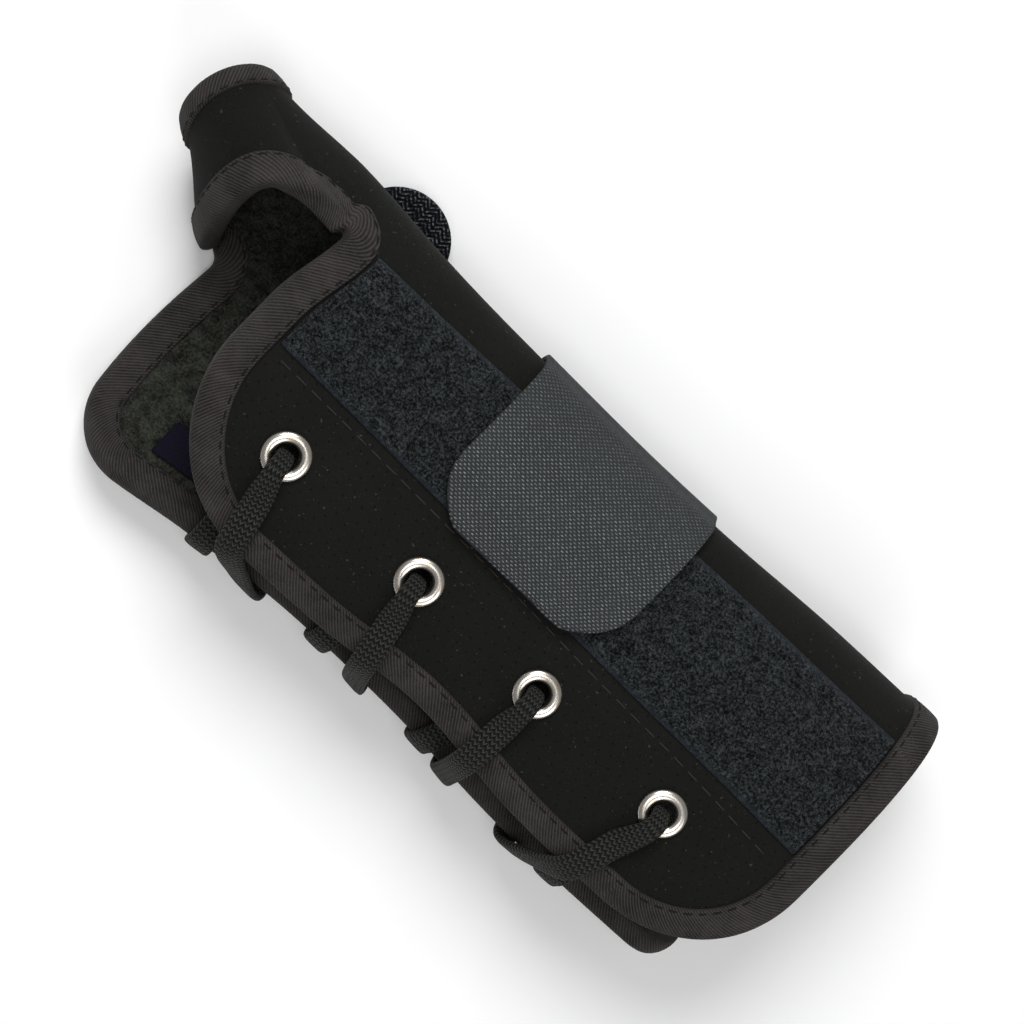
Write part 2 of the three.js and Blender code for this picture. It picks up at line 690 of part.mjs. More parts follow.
// The thumb strap: flat on the rear face, then straight out past the thumb side to a round end
function thumbStrap() {
  const x = thumbStrapAt * sleeveLength;
  const from = thumbStrapStart * sleeveWidth;
  const leave = 0.24 * sleeveWidth;
  const end = thumbStrapEnd * sleeveWidth;
  const low = gap + thumbStrapThickness / 2;
  const route = (at, y) => {
    if (y <= leave) return above(at, angleAt(at, y, -1), low);
    const last = above(at, angleAt(at, leave, -1), low);
    last.point.add(vector(0, y - leave, (y - leave) * thumbStrapRise));
    return last;
  };
  const upper = [];
  const lower = [];
  const quads = [];
  const rowCount = 9;
  const columnCount = 6;
  for (let i = 0; i <= rowCount; i += 1)
    for (let j = 0; j <= columnCount; j += 1) {
      const side = thumbStrapWidth * (j / columnCount - 0.5) * 0.999;
      const reach = end - cutBack(thumbStrapWidth / 2, thumbStrapWidth / 2 - Math.abs(side));
      const { point, normal } = route(x + side, lerp(from, reach, i / rowCount));
      upper.push(point.clone().addScaledVector(normal, thumbStrapThickness / 2));
      lower.push(point.clone().addScaledVector(normal, -thumbStrapThickness / 2));
      if (i < rowCount && j < columnCount) {
        const a = i * (columnCount + 1) + j;
        quads.push([a, a + 1, a + columnCount + 2, a + columnCount + 1]);
      }
    }
  return outward(thickened(upper, lower, quads));
}

// The patch of tape on the lining of the rear panel, near the hand
function liningPatch() {
  const at = (t) => lerp(liningTape.from, liningTape.to, t) * sleeveLength;
  const perDegree = (x) => arcLength(x, rearAngle, rearAngle + 20) / 20;
  return sheetOn(
    (t, w) => ({ x: at(t), angle: rearAngle + lerp(liningTape.near, liningTape.far, w) / perDegree(at(t)) }),
    -wall - gap - liningTapeThickness,
    -wall - gap,
    5,
    3,
  );
}

// An eyelet: a domed flange outside, a barrel through the wall and a thin flange inside
function eyelet(place) {
  const barrel = eyeletHole + eyeletBarrel;
  const back = eyeletRadius - 1;
  const profile = [
    [eyeletHole, -wall - 3 * gap],
    [back, -wall - 3 * gap],
    [back, -wall - 2 * gap],
    [barrel, -wall - 2 * gap],
    [barrel, gap],
    [eyeletRadius, gap],
    [eyeletRadius, gap + eyeletFlange * 0.5],
    [(eyeletRadius + barrel) / 2, gap + eyeletFlange],
    [barrel, gap + eyeletFlange * 0.8],
    [eyeletHole, gap + eyeletFlange * 0.2],
    [eyeletHole, -wall - 3 * gap],
  ].map(([r, y]) => new THREE.Vector2(r, y));
  return placedAlong(bare(mergeVertices(bare(new THREE.LatheGeometry(profile, 14)), 1e-4)), place);
}

// A flat lace along stations of point, facing and width
function ribbon(stations, samples) {
  const curve = new THREE.CatmullRomCurve3(stations.map((s) => s.point), false, "centripetal");
  let last = stations[0].facing.clone();
  const rings = [];
  for (let i = 0; i <= samples; i += 1) {
    const t = i / samples;
    const place = t * (stations.length - 1);
    const k = Math.min(Math.floor(place), stations.length - 2);
    const a = stations[k];
    const b = stations[k + 1];
    const facingB = b.facing.clone().multiplyScalar(Math.sign(a.facing.dot(b.facing)) || 1);
    const facing = a.facing.clone().lerp(facingB, place - k);
    const tangent = curve.getTangent(t);
    facing.addScaledVector(tangent, -facing.dot(tangent)).normalize();
    if (facing.dot(last) < 0) facing.negate();
    last = facing;
    const side = tangent.clone().cross(facing).normalize();
    const w = lerp(a.width, b.width, smooth(place - k)) / 2;
    const h = laceThickness / 2;
    const centre = curve.getPoint(t);
    const corner = (u, v) => centre.clone().addScaledVector(side, u * w).addScaledVector(facing, v * h);
    rings.push([corner(1, 0), corner(0.8, 1), corner(-0.8, 1), corner(-1, 0), corner(-0.8, -1), corner(0.8, -1)]);
  }
  return swept(rings, false);
}

// One lace loop: tab, rear face, over the rear edge, under the flap, up the eyelet, over the flap, back to the tab
const overSleeve = gap + laceThickness / 2 + 0.1;
const overTape = 2 * gap + tapeThickness + laceThickness / 2 + 0.15;
function laceLoop(row, place) {
  const at = (share) => share * sleeveLength;
  const low = tabAcross * sleeveWidth - tabWidth / 2;
  const edge = (x, height) => above(x, rearAngle, height);
  const level = (x, y) => {
    const angle = angleAt(x, y, -1);
    const spot = above(x, angle, overSleeve);
    return { point: spot.point, facing: spot.normal, width: laceWidth };
  };
  const onRear = (tabX, edgeX, share) => {
    const y = lerp(low - gap, -0.4 * sleeveWidth, share);
    return level(at(lerp(tabX, edgeX, 0.15 + 0.75 * share)), y);
  };
  const tabEnd = (tabX, edgeX) => ({
    point: vector(at(lerp(tabX, edgeX, 0.1)), low - gap, gap + laceThickness / 2 + 0.35),
    facing: vector(0, 0, 1),
    width: laceWidth * 0.8,
  });
  const rearOut = (x, degrees, height) => {
    const spot = above(x, rearAngle + degrees, height);
    return { point: spot.point, facing: spot.normal, width: laceWidth };
  };
  const up = place.normal;
  const aside = vector(0, 1, 0).addScaledVector(up, -up.y).normalize();
  const inHole = (height, width, shift) => ({
    point: place.point.clone().addScaledVector(up, height).addScaledVector(aside, shift),
    facing: aside.clone(),
    width,
  });
  const narrow = 4.2;
  const rearIn = at(row.underRear);
  const rearOver = at(row.overRear);
  const rim = edge(rearIn, -wall / 2).point;
  const rimUp = edge(rearIn, 0).normal.clone().cross(vector(1, 0, 0)).normalize();
  if (rimUp.z < 0) rimUp.negate();
  const inner = rim.clone().addScaledVector(rimUp, overTape + 1.1);
  const below = place.point.clone().addScaledVector(up, -wall - 3.6).addScaledVector(aside, -4.5);
  const half = inner.clone().lerp(below, 0.5).add(vector(0, 0, -1.2));
  const xf = at(row.overFlap);
  const onFlap = (share, height) => {
    const x = lerp(place.point.x, xf, share);
    const spot = above(x, lerp(angleAt(x, place.point.y), flapAngle, share), height);
    return { point: spot.point, facing: spot.normal, width: laceWidth };
  };
  const flapRim = onFlap(1, overTape);
  const rearTop = rearOut(rearOver, 2, overTape + 0.6);
  const between = flapRim.point.clone().lerp(rearTop.point, 0.5).add(vector(0, -1.2, 0));
  return ribbon(
    [
      tabEnd(row.tabIn, row.underRear),
      onRear(row.tabIn, row.underRear, 0.3),
      onRear(row.tabIn, row.underRear, 0.75),
      rearOut(lerp(at(row.tabIn), rearIn, 0.97), 15, overTape + 0.3),
      rearOut(rearIn, 4, overTape + 0.5),
      { point: inner, facing: rimUp, width: laceWidth },
      { point: half, facing: vector(0, 0.5, -1).normalize(), width: laceWidth },
      { point: below, facing: up.clone(), width: laceWidth * 0.9 },
      inHole(-wall - 1, narrow, -0.6),
      inHole(0.6, narrow, -0.7),
      { ...inHole(gap + eyeletFlange + laceThickness / 2 + 0.9, narrow * 1.1, -loopLean), facing: up.clone() },
      onFlap(0.45, overSleeve + 0.2),
      onFlap(0.72, overTape),
      flapRim,
      { point: between, facing: flapRim.facing.clone().add(rearTop.facing).normalize(), width: laceWidth },
      rearTop,
      rearOut(lerp(at(row.tabOut), rearOver, 0.97), 15, overTape + 0.3),
      onRear(row.tabOut, row.overRear, 0.75),
      onRear(row.tabOut, row.overRear, 0.3),
      tabEnd(row.tabOut, row.overRear),
    ],
    34,
  );
}

const group = new THREE.Group();
function put(name, geometry, color, roughness, metalness = 0) {
  const mesh = new THREE.Mesh(geometry, new THREE.MeshStandardMaterial({ color, roughness, metalness }));
  mesh.name = name;
  group.add(mesh);
}

// Two runs of edge tape share the sleeve's outline, with a small gap where they meet
const outline = [...everyRim.hand, ...everyRim.rearEdge, ...everyRim.forearm.slice(1), ...everyRim.flap];
const outlineFrames = rimFrames(outline, true);
const meet = 0.04;
function between(a, b, t) {
  return {
    point: a.point.clone().lerp(b.point, t),
    normal: a.normal.clone().lerp(b.normal, t).normalize(),
    inward: a.inward.clone().lerp(b.inward, t).normalize(),
    bend: lerp(a.bend, b.bend, t),
  };
}
function tapeRun(from, to) {
  const run = outlineFrames.slice(from, to + 1);
  run[0] = between(outlineFrames[from], outlineFrames[from + 1], meet);
  run[run.length - 1] = between(outlineFrames[to], outlineFrames[to - 1], meet);
  return swept(run.map((f) => tapeRing(f, 0)), false);
}

const suedeColor = 0x1a1a18;
const tapeColor = 0x2f2b29;
const pileColor = 0x14181c;
const strapColor = 0x33383d;
const thumbStrapColor = 0x10141c;
const laceColor = 0x1b1c1c;
const metalColor = 0xc9c3b8;
const liningTapeColor = 0x1c1b2b;

const handCount = everyRim.hand.length;
put("sleeve_shell", sleeveShell(), suedeColor, 0.9);
put("hand_opening_binding", trimmed(tapeRun(0, handCount), grown), tapeColor, 0.85);
put("panel_edge_binding", trimmed(tapeRun(handCount, outline.length - 1), grown), tapeColor, 0.85);
const tipTape = swept(rimFrames(everyRim.tipRing, true).map((f) => tapeRing(f, 0, tipTapeWidth)), true);
put("thumb_tip_binding", trimmed(tipTape, grown), tapeColor, 0.85);
put("pile_strip", pileStrip(), pileColor, 0.95);
put("wrist_strap", wristStrap(), strapColor, 0.75);
put("lace_tab", tab(), strapColor, 0.75);
put("thumb_strap", thumbStrap(), thumbStrapColor, 0.85);
put("lining_tape", liningPatch(), liningTapeColor, 0.95);
const keepOff = [
  toManifold(swept(outlineFrames.map((f) => tapeRing(f, gap)), true)),
  toManifold(tab(gap)),
  ...eyelets.map((place) => toManifold(eyelet(place))),
];
laceTable.forEach((row, i) => {
  put(`eyelet_${i + 1}`, eyelet(eyelets[i]), metalColor, 0.3, 0.9);
  put(`lace_loop_${i + 1}`, trimmed(laceLoop(row, eyelets[i]), ...keepOff), laceColor, 0.8);
});

// The origin is the middle of the underside
const box = new THREE.Box3().setFromObject(group);
const centre = box.getCenter(vector(0, 0, 0));
group.position.set(-centre.x, -centre.y, -box.min.z);

export default group;
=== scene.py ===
import math

import bpy
import numpy as np
from mathutils import Matrix, Vector
from mathutils.bvhtree import BVHTree


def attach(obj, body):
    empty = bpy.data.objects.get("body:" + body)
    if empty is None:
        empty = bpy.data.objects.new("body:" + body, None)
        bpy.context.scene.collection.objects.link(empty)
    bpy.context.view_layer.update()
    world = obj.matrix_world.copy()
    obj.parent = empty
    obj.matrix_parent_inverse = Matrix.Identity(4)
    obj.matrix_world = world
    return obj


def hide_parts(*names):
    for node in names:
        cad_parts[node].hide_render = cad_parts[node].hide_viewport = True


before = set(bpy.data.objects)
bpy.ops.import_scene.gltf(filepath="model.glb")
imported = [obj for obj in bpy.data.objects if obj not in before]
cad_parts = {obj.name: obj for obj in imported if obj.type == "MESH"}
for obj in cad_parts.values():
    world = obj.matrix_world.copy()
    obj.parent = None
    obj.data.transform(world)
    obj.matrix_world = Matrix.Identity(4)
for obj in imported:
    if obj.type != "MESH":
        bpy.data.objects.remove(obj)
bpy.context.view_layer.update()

# The CAD model's numbers, in millimetres, before its origin moves to the middle of the underside
LENGTH, WIDTH, HEIGHT = 213.0, 84.0, 46.0
WALL, GAP = 3.0, 0.3
TAPE_THICKNESS, TAPE_WIDTH, TIP_TAPE_WIDTH = 0.8, 6.2, 3.4
EYELET_RADIUS, EYELET_HOLE, EYELET_BARREL, EYELET_FLANGE = 5.5, 2.8, 0.6, 1.0
LACE_WIDTH, LACE_THICKNESS = 6.2, 2.0
STRAP_WIDTH, STRAP_THICKNESS, STRAP_END_RADIUS = 51.0, 1.5, 12.0
TAB_LENGTH, TAB_WIDTH, TAB_THICKNESS, TAB_CORNER = 55.0, 13.0, 2.6, 3.0
THUMB_STRAP_WIDTH, THUMB_STRAP_THICKNESS = 24.0, 1.5
PILE_THICKNESS, LINING_TAPE_THICKNESS = 1.2, 0.8
SQUARENESS = 0.85
FLAP_ANGLE, REAR_ANGLE = 142.0, -168.0
THUMB_FRONT_ANGLE, THUMB_REAR_ANGLE = 47.0, -83.0
FLAP_HAND_RADIUS, FLAP_FOREARM_RADIUS = 32.0, 29.0
REAR_HAND_RADIUS, REAR_FOREARM_RADIUS = 14.0, 9.0
PALM_CORNER_RADIUS, CROTCH_RADIUS = 2.6, 5.0
PALM_HOLLOW, PALM_HOLLOW_LENGTH, REAR_BULGE = 3.0, 22.0, 2.0
HAND_CUT = {"rear": -0.346, "front": -0.303}
FOREARM_CUT = {"rear": 0.484, "thumb": 0.5, "front": 0.49}
THUMB_FRONT_TURN, CROTCH_TURN = 50.0, 226.0
WALL_AIM, ARC_AIM, AIM_EASE = 0.3, 0.9, 0.35
TIP = (-0.456, 0.36, 0.38)
TIP_HALF_WIDTH, TIP_HALF_DEPTH, TIP_SWING, TIP_DIP, TIP_SKEW = 10.7, 12.6, 22.4, 11.0, 4.2
EYELET_ACROSS = -0.172
STRAP_AT_FRONT, STRAP_AT_REAR, STRAP_FREE_END, TAB_ACROSS = 0.047, 0.078, -0.014, -0.13
STRAP_FOLD_AT = -53.5  # where the strap turns round the thumb side, measured from its rear end
THUMB_STRAP_AT, THUMB_STRAP_END, THUMB_STRAP_START, THUMB_STRAP_RISE = -0.2385, 0.545, -0.02, 0.13
PILE_SEAT = TAPE_WIDTH + 3 * GAP
PILE = {"ulnar": (0.02, -0.015), "thumb": (0.332, 0.37)}
LINING_TAPE = {"from": -0.27, "to": -0.205, "near": 9.0, "far": 16.0}

THUMB_STUB = 2.2  # how far the curve over the thumb's base starts and ends inside the sleeve's cut
LACE_NARROW = 4.2  # width of a lace where it is gathered in an eyelet

# Numbers of the visual model alone
REAR_BAND, FRONT_BAND = (-142.0, -96.0), (62.0, 104.0)  # angles with evenly spaced columns
TUBE_CLOTH_START = -66.0  # where the cloth's own measure goes on from the sleeve into the thumb tube
EYELET_CLEARANCE = 0.9  # how much wider than its eyelet's hole the sleeve is cut
SHEET_ROUNDING = 0.28  # how far a sheet's edge bulges
PILE_WIDTH, PILE_NAP, PILE_GRAIN = 30.0, 0.35, (-0.32, 0.3)
PILE_RISE = (14, 30)  # angles between which the wrist strap climbs onto the pile
LINING_GRAIN, LINING_CLOTH_WIDTH = 0.15, 14
FLAP_SEAM_SPAN = (-0.262, 0.452)  # shares of the length
FLAP_SEAM = {"along": (-57, -20, 62, 97), "across": (-0.9, -1.7, -3.9, -6.0)}

SECTIONS = {
    "along": (-0.4, -0.31, -0.2, -0.06, 0.08, 0.22, 0.36, 0.5),
    "thumb": (0.485, 0.478, 0.458, 0.447, 0.447, 0.455, 0.482, 0.49),
    "flap": (-0.395, -0.405, -0.42, -0.418, -0.388, -0.425, -0.43, -0.43),
    "rear": (-0.535, -0.535, -0.492, -0.458, -0.46, -0.487, -0.492, -0.49),
    "bottom": (0.02, 0.042, 0.064, 0.088, 0.09, 0.08, 0.045, 0.024),
    "top": (0.9, 0.92, 0.91, 0.89, 0.9, 0.93, 0.97, 0.985),
    "opened": (22, 18, 5, 0, 0, 0, 2, 4),
}
PALM_ARC = (
    (-0.318, 0.348, 0.826, 62), (-0.334, 0.346, 0.85, 71), (-0.361, 0.329, 0.868, 86),
    (-0.384, 0.292, 0.86, 103), (-0.395, 0.238, 0.8, 120), (-0.396, 0.167, 0.68, 143),
    (-0.39, 0.101, 0.52, 168), (-0.383, 0.067, 0.35, 190), (-0.376, 0.06, 0.18, 208),
)
LACES = (
    {"eyelet": -0.19, "flap": -0.166, "over": -0.106, "tab_out": 0.016, "under": -0.177, "tab_in": -0.02},
    {"eyelet": -0.009, "flap": 0.011, "over": 0.04, "tab_out": 0.08, "under": -0.02, "tab_in": 0.048},
    {"eyelet": 0.155, "flap": 0.156, "over": 0.171, "tab_out": 0.144, "under": 0.129, "tab_in": 0.112},
    {"eyelet": 0.331, "flap": 0.305, "over": 0.271, "tab_out": 0.176, "under": 0.33, "tab_in": 0.208},
)
RNG = np.random.default_rng(7)


def smooth(t):
    return t * t * (3 - 2 * t)


def lerp(a, b, t):
    return a + (b - a) * t


def unit(v):
    return v / np.maximum(np.linalg.norm(v, axis=-1, keepdims=True), 1e-12)


def power(value, exponent):
    return np.sign(value) * np.abs(value) ** exponent


# Geometry of the sleeve

def column(name, at):
    """Smooth curve through a column of the section table: cubic pieces with centred slopes."""
    xs, ys = np.array(SECTIONS["along"]), np.array(SECTIONS[name], float)
    last = len(xs) - 1
    x = np.clip(at, xs[0], xs[-1])
    i = np.clip(np.searchsorted(xs, x) - 1, 0, last - 1)
    before, after = np.maximum(np.arange(last + 1) - 1, 0), np.minimum(np.arange(last + 1) + 1, last)
    slope = (ys[after] - ys[before]) / (xs[after] - xs[before])
    span = xs[i + 1] - xs[i]
    t = (x - xs[i]) / span
    h = smooth(t)
    bend = t * (1 - t) ** 2 * slope[i] - t * t * (1 - t) * slope[i + 1]
    return ys[i] * (1 - h) + ys[i + 1] * h + span * bend


def section(x):
    """The sizes of the sleeve's section at x."""
    along = np.asarray(x, float) / LENGTH
    bottom, top = column("bottom", along) * HEIGHT, column("top", along) * HEIGHT
    edge = REAR_ANGLE + column("opened", along)
    reach = lambda angle: np.abs(np.cos(np.radians(angle))) ** SQUARENESS
    return {
        "edge": edge,
        "middle": (bottom + top) / 2,
        "half": (top - bottom) / 2,
        "thumb": column("thumb", along) * WIDTH,
        "front": -column("flap", along) * WIDTH / reach(FLAP_ANGLE),
        "rear": -column("rear", along) * WIDTH / reach(edge),
    }


def sleeve_point(x, angle):
    """Squarish oval section: half-widths times cosine and sine of the angle, each to the same power."""
    x, angle = np.broadcast_arrays(np.asarray(x, float), np.asarray(angle, float))
    s = section(x)
    opened = -90 + (angle + 90) * (s["edge"] + 90) / (REAR_ANGLE + 90)
    turned = np.where(angle < -90, opened, angle)
    c = np.cos(np.radians(turned))
    across = np.where(c >= 0, s["thumb"], np.where(turned > 0, s["front"], s["rear"]))
    z = s["middle"] + s["half"] * power(np.sin(np.radians(turned)), SQUARENESS)
    return np.stack([x, across * power(c, SQUARENESS), z], -1)


def sleeve_normal(x, angle):
    """Direction straight out of the sleeve."""
    x, angle = np.broadcast_arrays(np.asarray(x, float), np.asarray(angle, float))
    round_ = sleeve_point(x, angle + 1) - sleeve_point(x, angle - 1)
    along = sleeve_point(x + 0.5, angle) - sleeve_point(x - 0.5, angle)
    return unit(np.cross(round_, along))


def above(x, angle, height):
    """Point at a height over the sleeve's outer face, and the normal there."""
    normal = sleeve_normal(x, angle)
    return sleeve_point(x, angle) + normal * np.asarray(height, float)[..., None], normal


def angle_at(x, y, side=1):
    """Angle at which the section at x reaches the place y, on the front or the rear."""
    s = section(x)
    half = np.where(np.asarray(y) >= 0, s["thumb"], s["front"] if side > 0 else s["rear"])
    return side * np.degrees(np.arccos(power(np.clip(y / half, -1, 1), 1 / SQUARENESS)))


def arc_length(x, start, end, steps=12):
    """Length of the section at x from one angle to another."""
    t = np.linspace(0, 1, steps + 1)
    x, start, end = np.broadcast_arrays(*(np.asarray(v, float) for v in (x, start, end)))
    p = sleeve_point(x[..., None], lerp(start[..., None], end[..., None], t))
    return np.linalg.norm(np.diff(p, axis=-2), axis=-1).sum(-1)


def cut_back(radius, distance):
    """How far a rounded corner cuts back, at a distance from the edge."""
    d = np.clip(radius - distance, 0, radius)
    return radius - np.sqrt(radius**2 - d**2)


def hand_end(angle):
    """Where the sleeve is cut at the hand end."""
    rear, front = HAND_CUT["rear"] * LENGTH, HAND_CUT["front"] * LENGTH
    done, left = arc_length(rear, REAR_ANGLE, angle), arc_length(rear, angle, THUMB_REAR_ANGLE)
    swell = REAR_BULGE * np.sin(math.pi * done / (done + left))
    on_rear = rear - swell + cut_back(REAR_HAND_RADIUS, done) - cut_back(CROTCH_RADIUS, left)
    done = arc_length(front, THUMB_FRONT_ANGLE, angle)
    hollow = PALM_HOLLOW * smooth(np.clip(1 - done / PALM_HOLLOW_LENGTH, 0, 1))
    outer = cut_back(FLAP_HAND_RADIUS, arc_length(front, angle, FLAP_ANGLE))
    on_front = front + hollow + outer - cut_back(PALM_CORNER_RADIUS, done)
    t = np.clip((angle - THUMB_REAR_ANGLE) / (THUMB_FRONT_ANGLE - THUMB_REAR_ANGLE), 0, 1)
    joined = lerp(rear - CROTCH_RADIUS, front + PALM_HOLLOW - PALM_CORNER_RADIUS, smooth(t))
    rest = np.where(angle >= THUMB_FRONT_ANGLE, on_front, joined)
    return np.where(angle <= THUMB_REAR_ANGLE, on_rear, rest)


def forearm_end(angle):
    """Where the sleeve is cut at the forearm end."""
    rear, front, side = (FOREARM_CUT[k] * LENGTH for k in ("rear", "front", "thumb"))
    t = smooth(np.clip(np.abs(angle) / 90, 0, 1))
    level = np.where(angle < 0, lerp(side, rear, t), lerp(side, front, t))
    level = level - cut_back(REAR_FOREARM_RADIUS, arc_length(rear, REAR_ANGLE, angle))
    return level - cut_back(FLAP_FOREARM_RADIUS, arc_length(front, angle, FLAP_ANGLE))


def tip_point(turn):
    """Ring of the thumb tube's end: an ellipse across the tilted axis, its front pushed further out."""
    swing, dip, a = math.radians(TIP_SWING), math.radians(TIP_DIP), np.radians(turn)[..., None]
    axis = np.array([-math.cos(swing) * math.cos(dip), math.sin(swing) * math.cos(dip), -math.sin(dip)])
    aside = np.array([math.sin(swing), math.cos(swing), 0.0])
    up = unit(np.cross(aside, axis))
    centre = np.array([TIP[0] * LENGTH, TIP[1] * WIDTH, TIP[2] * HEIGHT])
    ellipse = aside * TIP_HALF_WIDTH * np.cos(a) + up * TIP_HALF_DEPTH * np.sin(a)
    return centre + (ellipse + axis * TIP_SKEW * np.sin(a)), axis


def catmull(points, t):
    """Centripetal curve through points, read at t from 0 to 1."""
    points = np.asarray(points, float)
    n = len(points) - 1
    padded = np.vstack([2 * points[0] - points[1], points, 2 * points[-1] - points[-2]])
    place = np.clip(np.asarray(t, float), 0, 1) * n
    k = np.minimum(np.floor(place).astype(int), n - 1)
    w = (place - k)[..., None]
    p0, p1, p2, p3 = (padded[k + j] for j in range(4))
    step = lambda a, b: np.maximum(np.linalg.norm(b - a, axis=-1, keepdims=True) ** 0.5, 1e-4)
    d0, d1, d2 = step(p0, p1), step(p1, p2), step(p2, p3)
    m1 = ((p1 - p0) / d0 - (p2 - p0) / (d0 + d1) + (p2 - p1) / d1) * d1
    m2 = ((p2 - p1) / d1 - (p3 - p1) / (d1 + d2) + (p3 - p2) / d2) * d1
    return p1 + m1 * w + (3 * (p2 - p1) - 2 * m1 - m2) * w**2 + (2 * (p1 - p2) + m1 + m2) * w**3


def spread(a, b, count, ease=""):
    """Values from a up to just before b, closer together at its start or end on request."""
    t = np.arange(count) / count
    if ease == "start":
        t = 1 - np.cos(math.pi / 2 * t)
    elif ease == "end":
        t = np.sin(math.pi / 2 * t)
    return lerp(a, b, t)


# Fine grid of the sleeve: angles round it, closer together near the edges and the thumb's corners
FINE = 2
ANGLES = np.concatenate([
    spread(REAR_ANGLE, REAR_BAND[0], 12 * FINE, "start"),
    spread(*REAR_BAND, 18 * FINE),
    spread(REAR_BAND[1], THUMB_REAR_ANGLE, 10 * FINE, "end"),
    spread(THUMB_REAR_ANGLE, THUMB_FRONT_ANGLE, 34 * FINE),
    spread(THUMB_FRONT_ANGLE, FRONT_BAND[0], 12 * FINE, "start"),
    spread(*FRONT_BAND, 17 * FINE),
    spread(FRONT_BAND[1], FLAP_ANGLE, 16 * FINE, "end"),
    [FLAP_ANGLE],
])
CROTCH = int(np.argmin(np.abs(ANGLES - THUMB_REAR_ANGLE)))
PALM = int(np.argmin(np.abs(ANGLES - THUMB_FRONT_ANGLE)))
ROWS = 70 * FINE
THUMB_ROWS = 22 * FINE
ARC_STEPS = 46 * FINE


def thumb_base():
    """Foot of the thumb tube: the sleeve's cut from crotch to palm corner, then the arc over the palm."""
    own = ANGLES[CROTCH:PALM + 1]
    x = hand_end(own)
    points = sleeve_point(x, own)
    leads = unit(points - sleeve_point(x + 1, own))
    rear = own / THUMB_REAR_ANGLE * (CROTCH_TURN - 360)
    turns = np.where(own < 0, rear, own / THUMB_FRONT_ANGLE * THUMB_FRONT_TURN)
    table = np.array(PALM_ARC)
    route = np.vstack([
        points[-1] - leads[-1] * THUMB_STUB, points[-1],
        table[:, :3] * (LENGTH, WIDTH, HEIGHT), points[0], points[0] - leads[0] * THUMB_STUB,
    ])
    route_turns = np.concatenate([[THUMB_FRONT_TURN] * 2, table[:, 3], [CROTCH_TURN] * 2])
    spans = len(route) - 1
    share = np.arange(1, ARC_STEPS) / ARC_STEPS
    place = 1 + (spans - 2) * share
    arc = catmull(route, place / spans)
    arc_turns = np.interp(place, np.arange(spans + 1), route_turns)
    arc_leads = lerp(leads[-1], leads[0], share[:, None])
    away = np.minimum(share, 1 - share) / AIM_EASE
    arc_aim = lerp(WALL_AIM, ARC_AIM, smooth(np.minimum(away, 1)))
    blend = np.concatenate([np.full(len(own), WALL_AIM), arc_aim])
    return (np.vstack([points, arc]), np.concatenate([turns, arc_turns]),
            np.vstack([leads, arc_leads]), blend, len(own))


def build_sleeve():
    """Grid of the sleeve, forearm to hand, and of the thumb tube, whose columns are cubics to the tip."""
    t = np.arange(ROWS + 1) / ROWS
    t = lerp(t, (1 - np.cos(math.pi * t)) / 2, 0.6)[:, None]
    x = lerp(forearm_end(ANGLES), hand_end(ANGLES), t)
    main = sleeve_point(x, ANGLES[None, :])
    base, turns, leads, blend, joined = thumb_base()
    tip, axis = tip_point(turns)
    chord = tip - base
    reach = np.linalg.norm(chord, axis=-1, keepdims=True)
    start = unit(lerp(leads, unit(chord), blend[:, None]))
    finish = unit(lerp(axis, unit(chord), 0.75))
    s = (np.arange(THUMB_ROWS + 1) / THUMB_ROWS)[:, None, None]
    tube = (base * (1 - smooth(s)) + tip * smooth(s)
            + start * reach * s * (1 - s) ** 2 - finish * reach * s * s * (1 - s))
    count = ANGLES.size
    grid = np.arange((ROWS + 1) * count).reshape(ROWS + 1, count)
    fresh = np.arange((THUMB_ROWS + 1) * len(base)).reshape(THUMB_ROWS + 1, len(base))
    extra = grid.size + fresh - joined
    foot = np.concatenate([grid[-1, CROTCH:PALM + 1], grid.size + np.arange(len(base) - joined)])
    thumb = np.vstack([foot, extra[1:]])
    points = np.vstack([main.reshape(-1, 3), tube[0, joined:], tube[1:].reshape(-1, 3)])
    after = np.roll(thumb, -1, 1)
    quads = np.vstack([
        np.stack([grid[:-1, :-1], grid[1:, :-1], grid[1:, 1:], grid[:-1, 1:]], -1).reshape(-1, 4),
        np.stack([thumb[:-1], thumb[1:], after[1:], after[:-1]], -1).reshape(-1, 4),
    ])
    return points, quads, grid, thumb, joined


def vertex_normals(points, quads):
    corners = [points[quads[:, k]] for k in range(4)]
    face = np.cross(corners[2] - corners[0], corners[3] - corners[1])
    out = np.zeros_like(points)
    for k in range(4):
        np.add.at(out, quads[:, k], face)
    return unit(out)


SURFACE, QUADS, GRID, THUMB, JOINED = build_sleeve()
NORMALS = vertex_normals(SURFACE, QUADS)
TREE = BVHTree.FromPolygons([Vector(p) for p in SURFACE.tolist()], QUADS.tolist())

# The CAD model's origin is the middle of its underside, so every piece moves by the same shift
SHIFT = np.array([-1.2415, -0.6236, 0.0])


# Camera, as long-lensed and nearly overhead as the photograph, and leaning to the hand end

PHOTO_TILT = math.radians(12)
PHOTO_SCALE, PHOTO_PIXELS = 0.216, 1024  # millimetres for each pixel, and the picture's width
PHOTO_TARGET = (0.0047, 0.0089, 0.022)
PHOTO_X_AXIS = (0.7193, 0.6947)


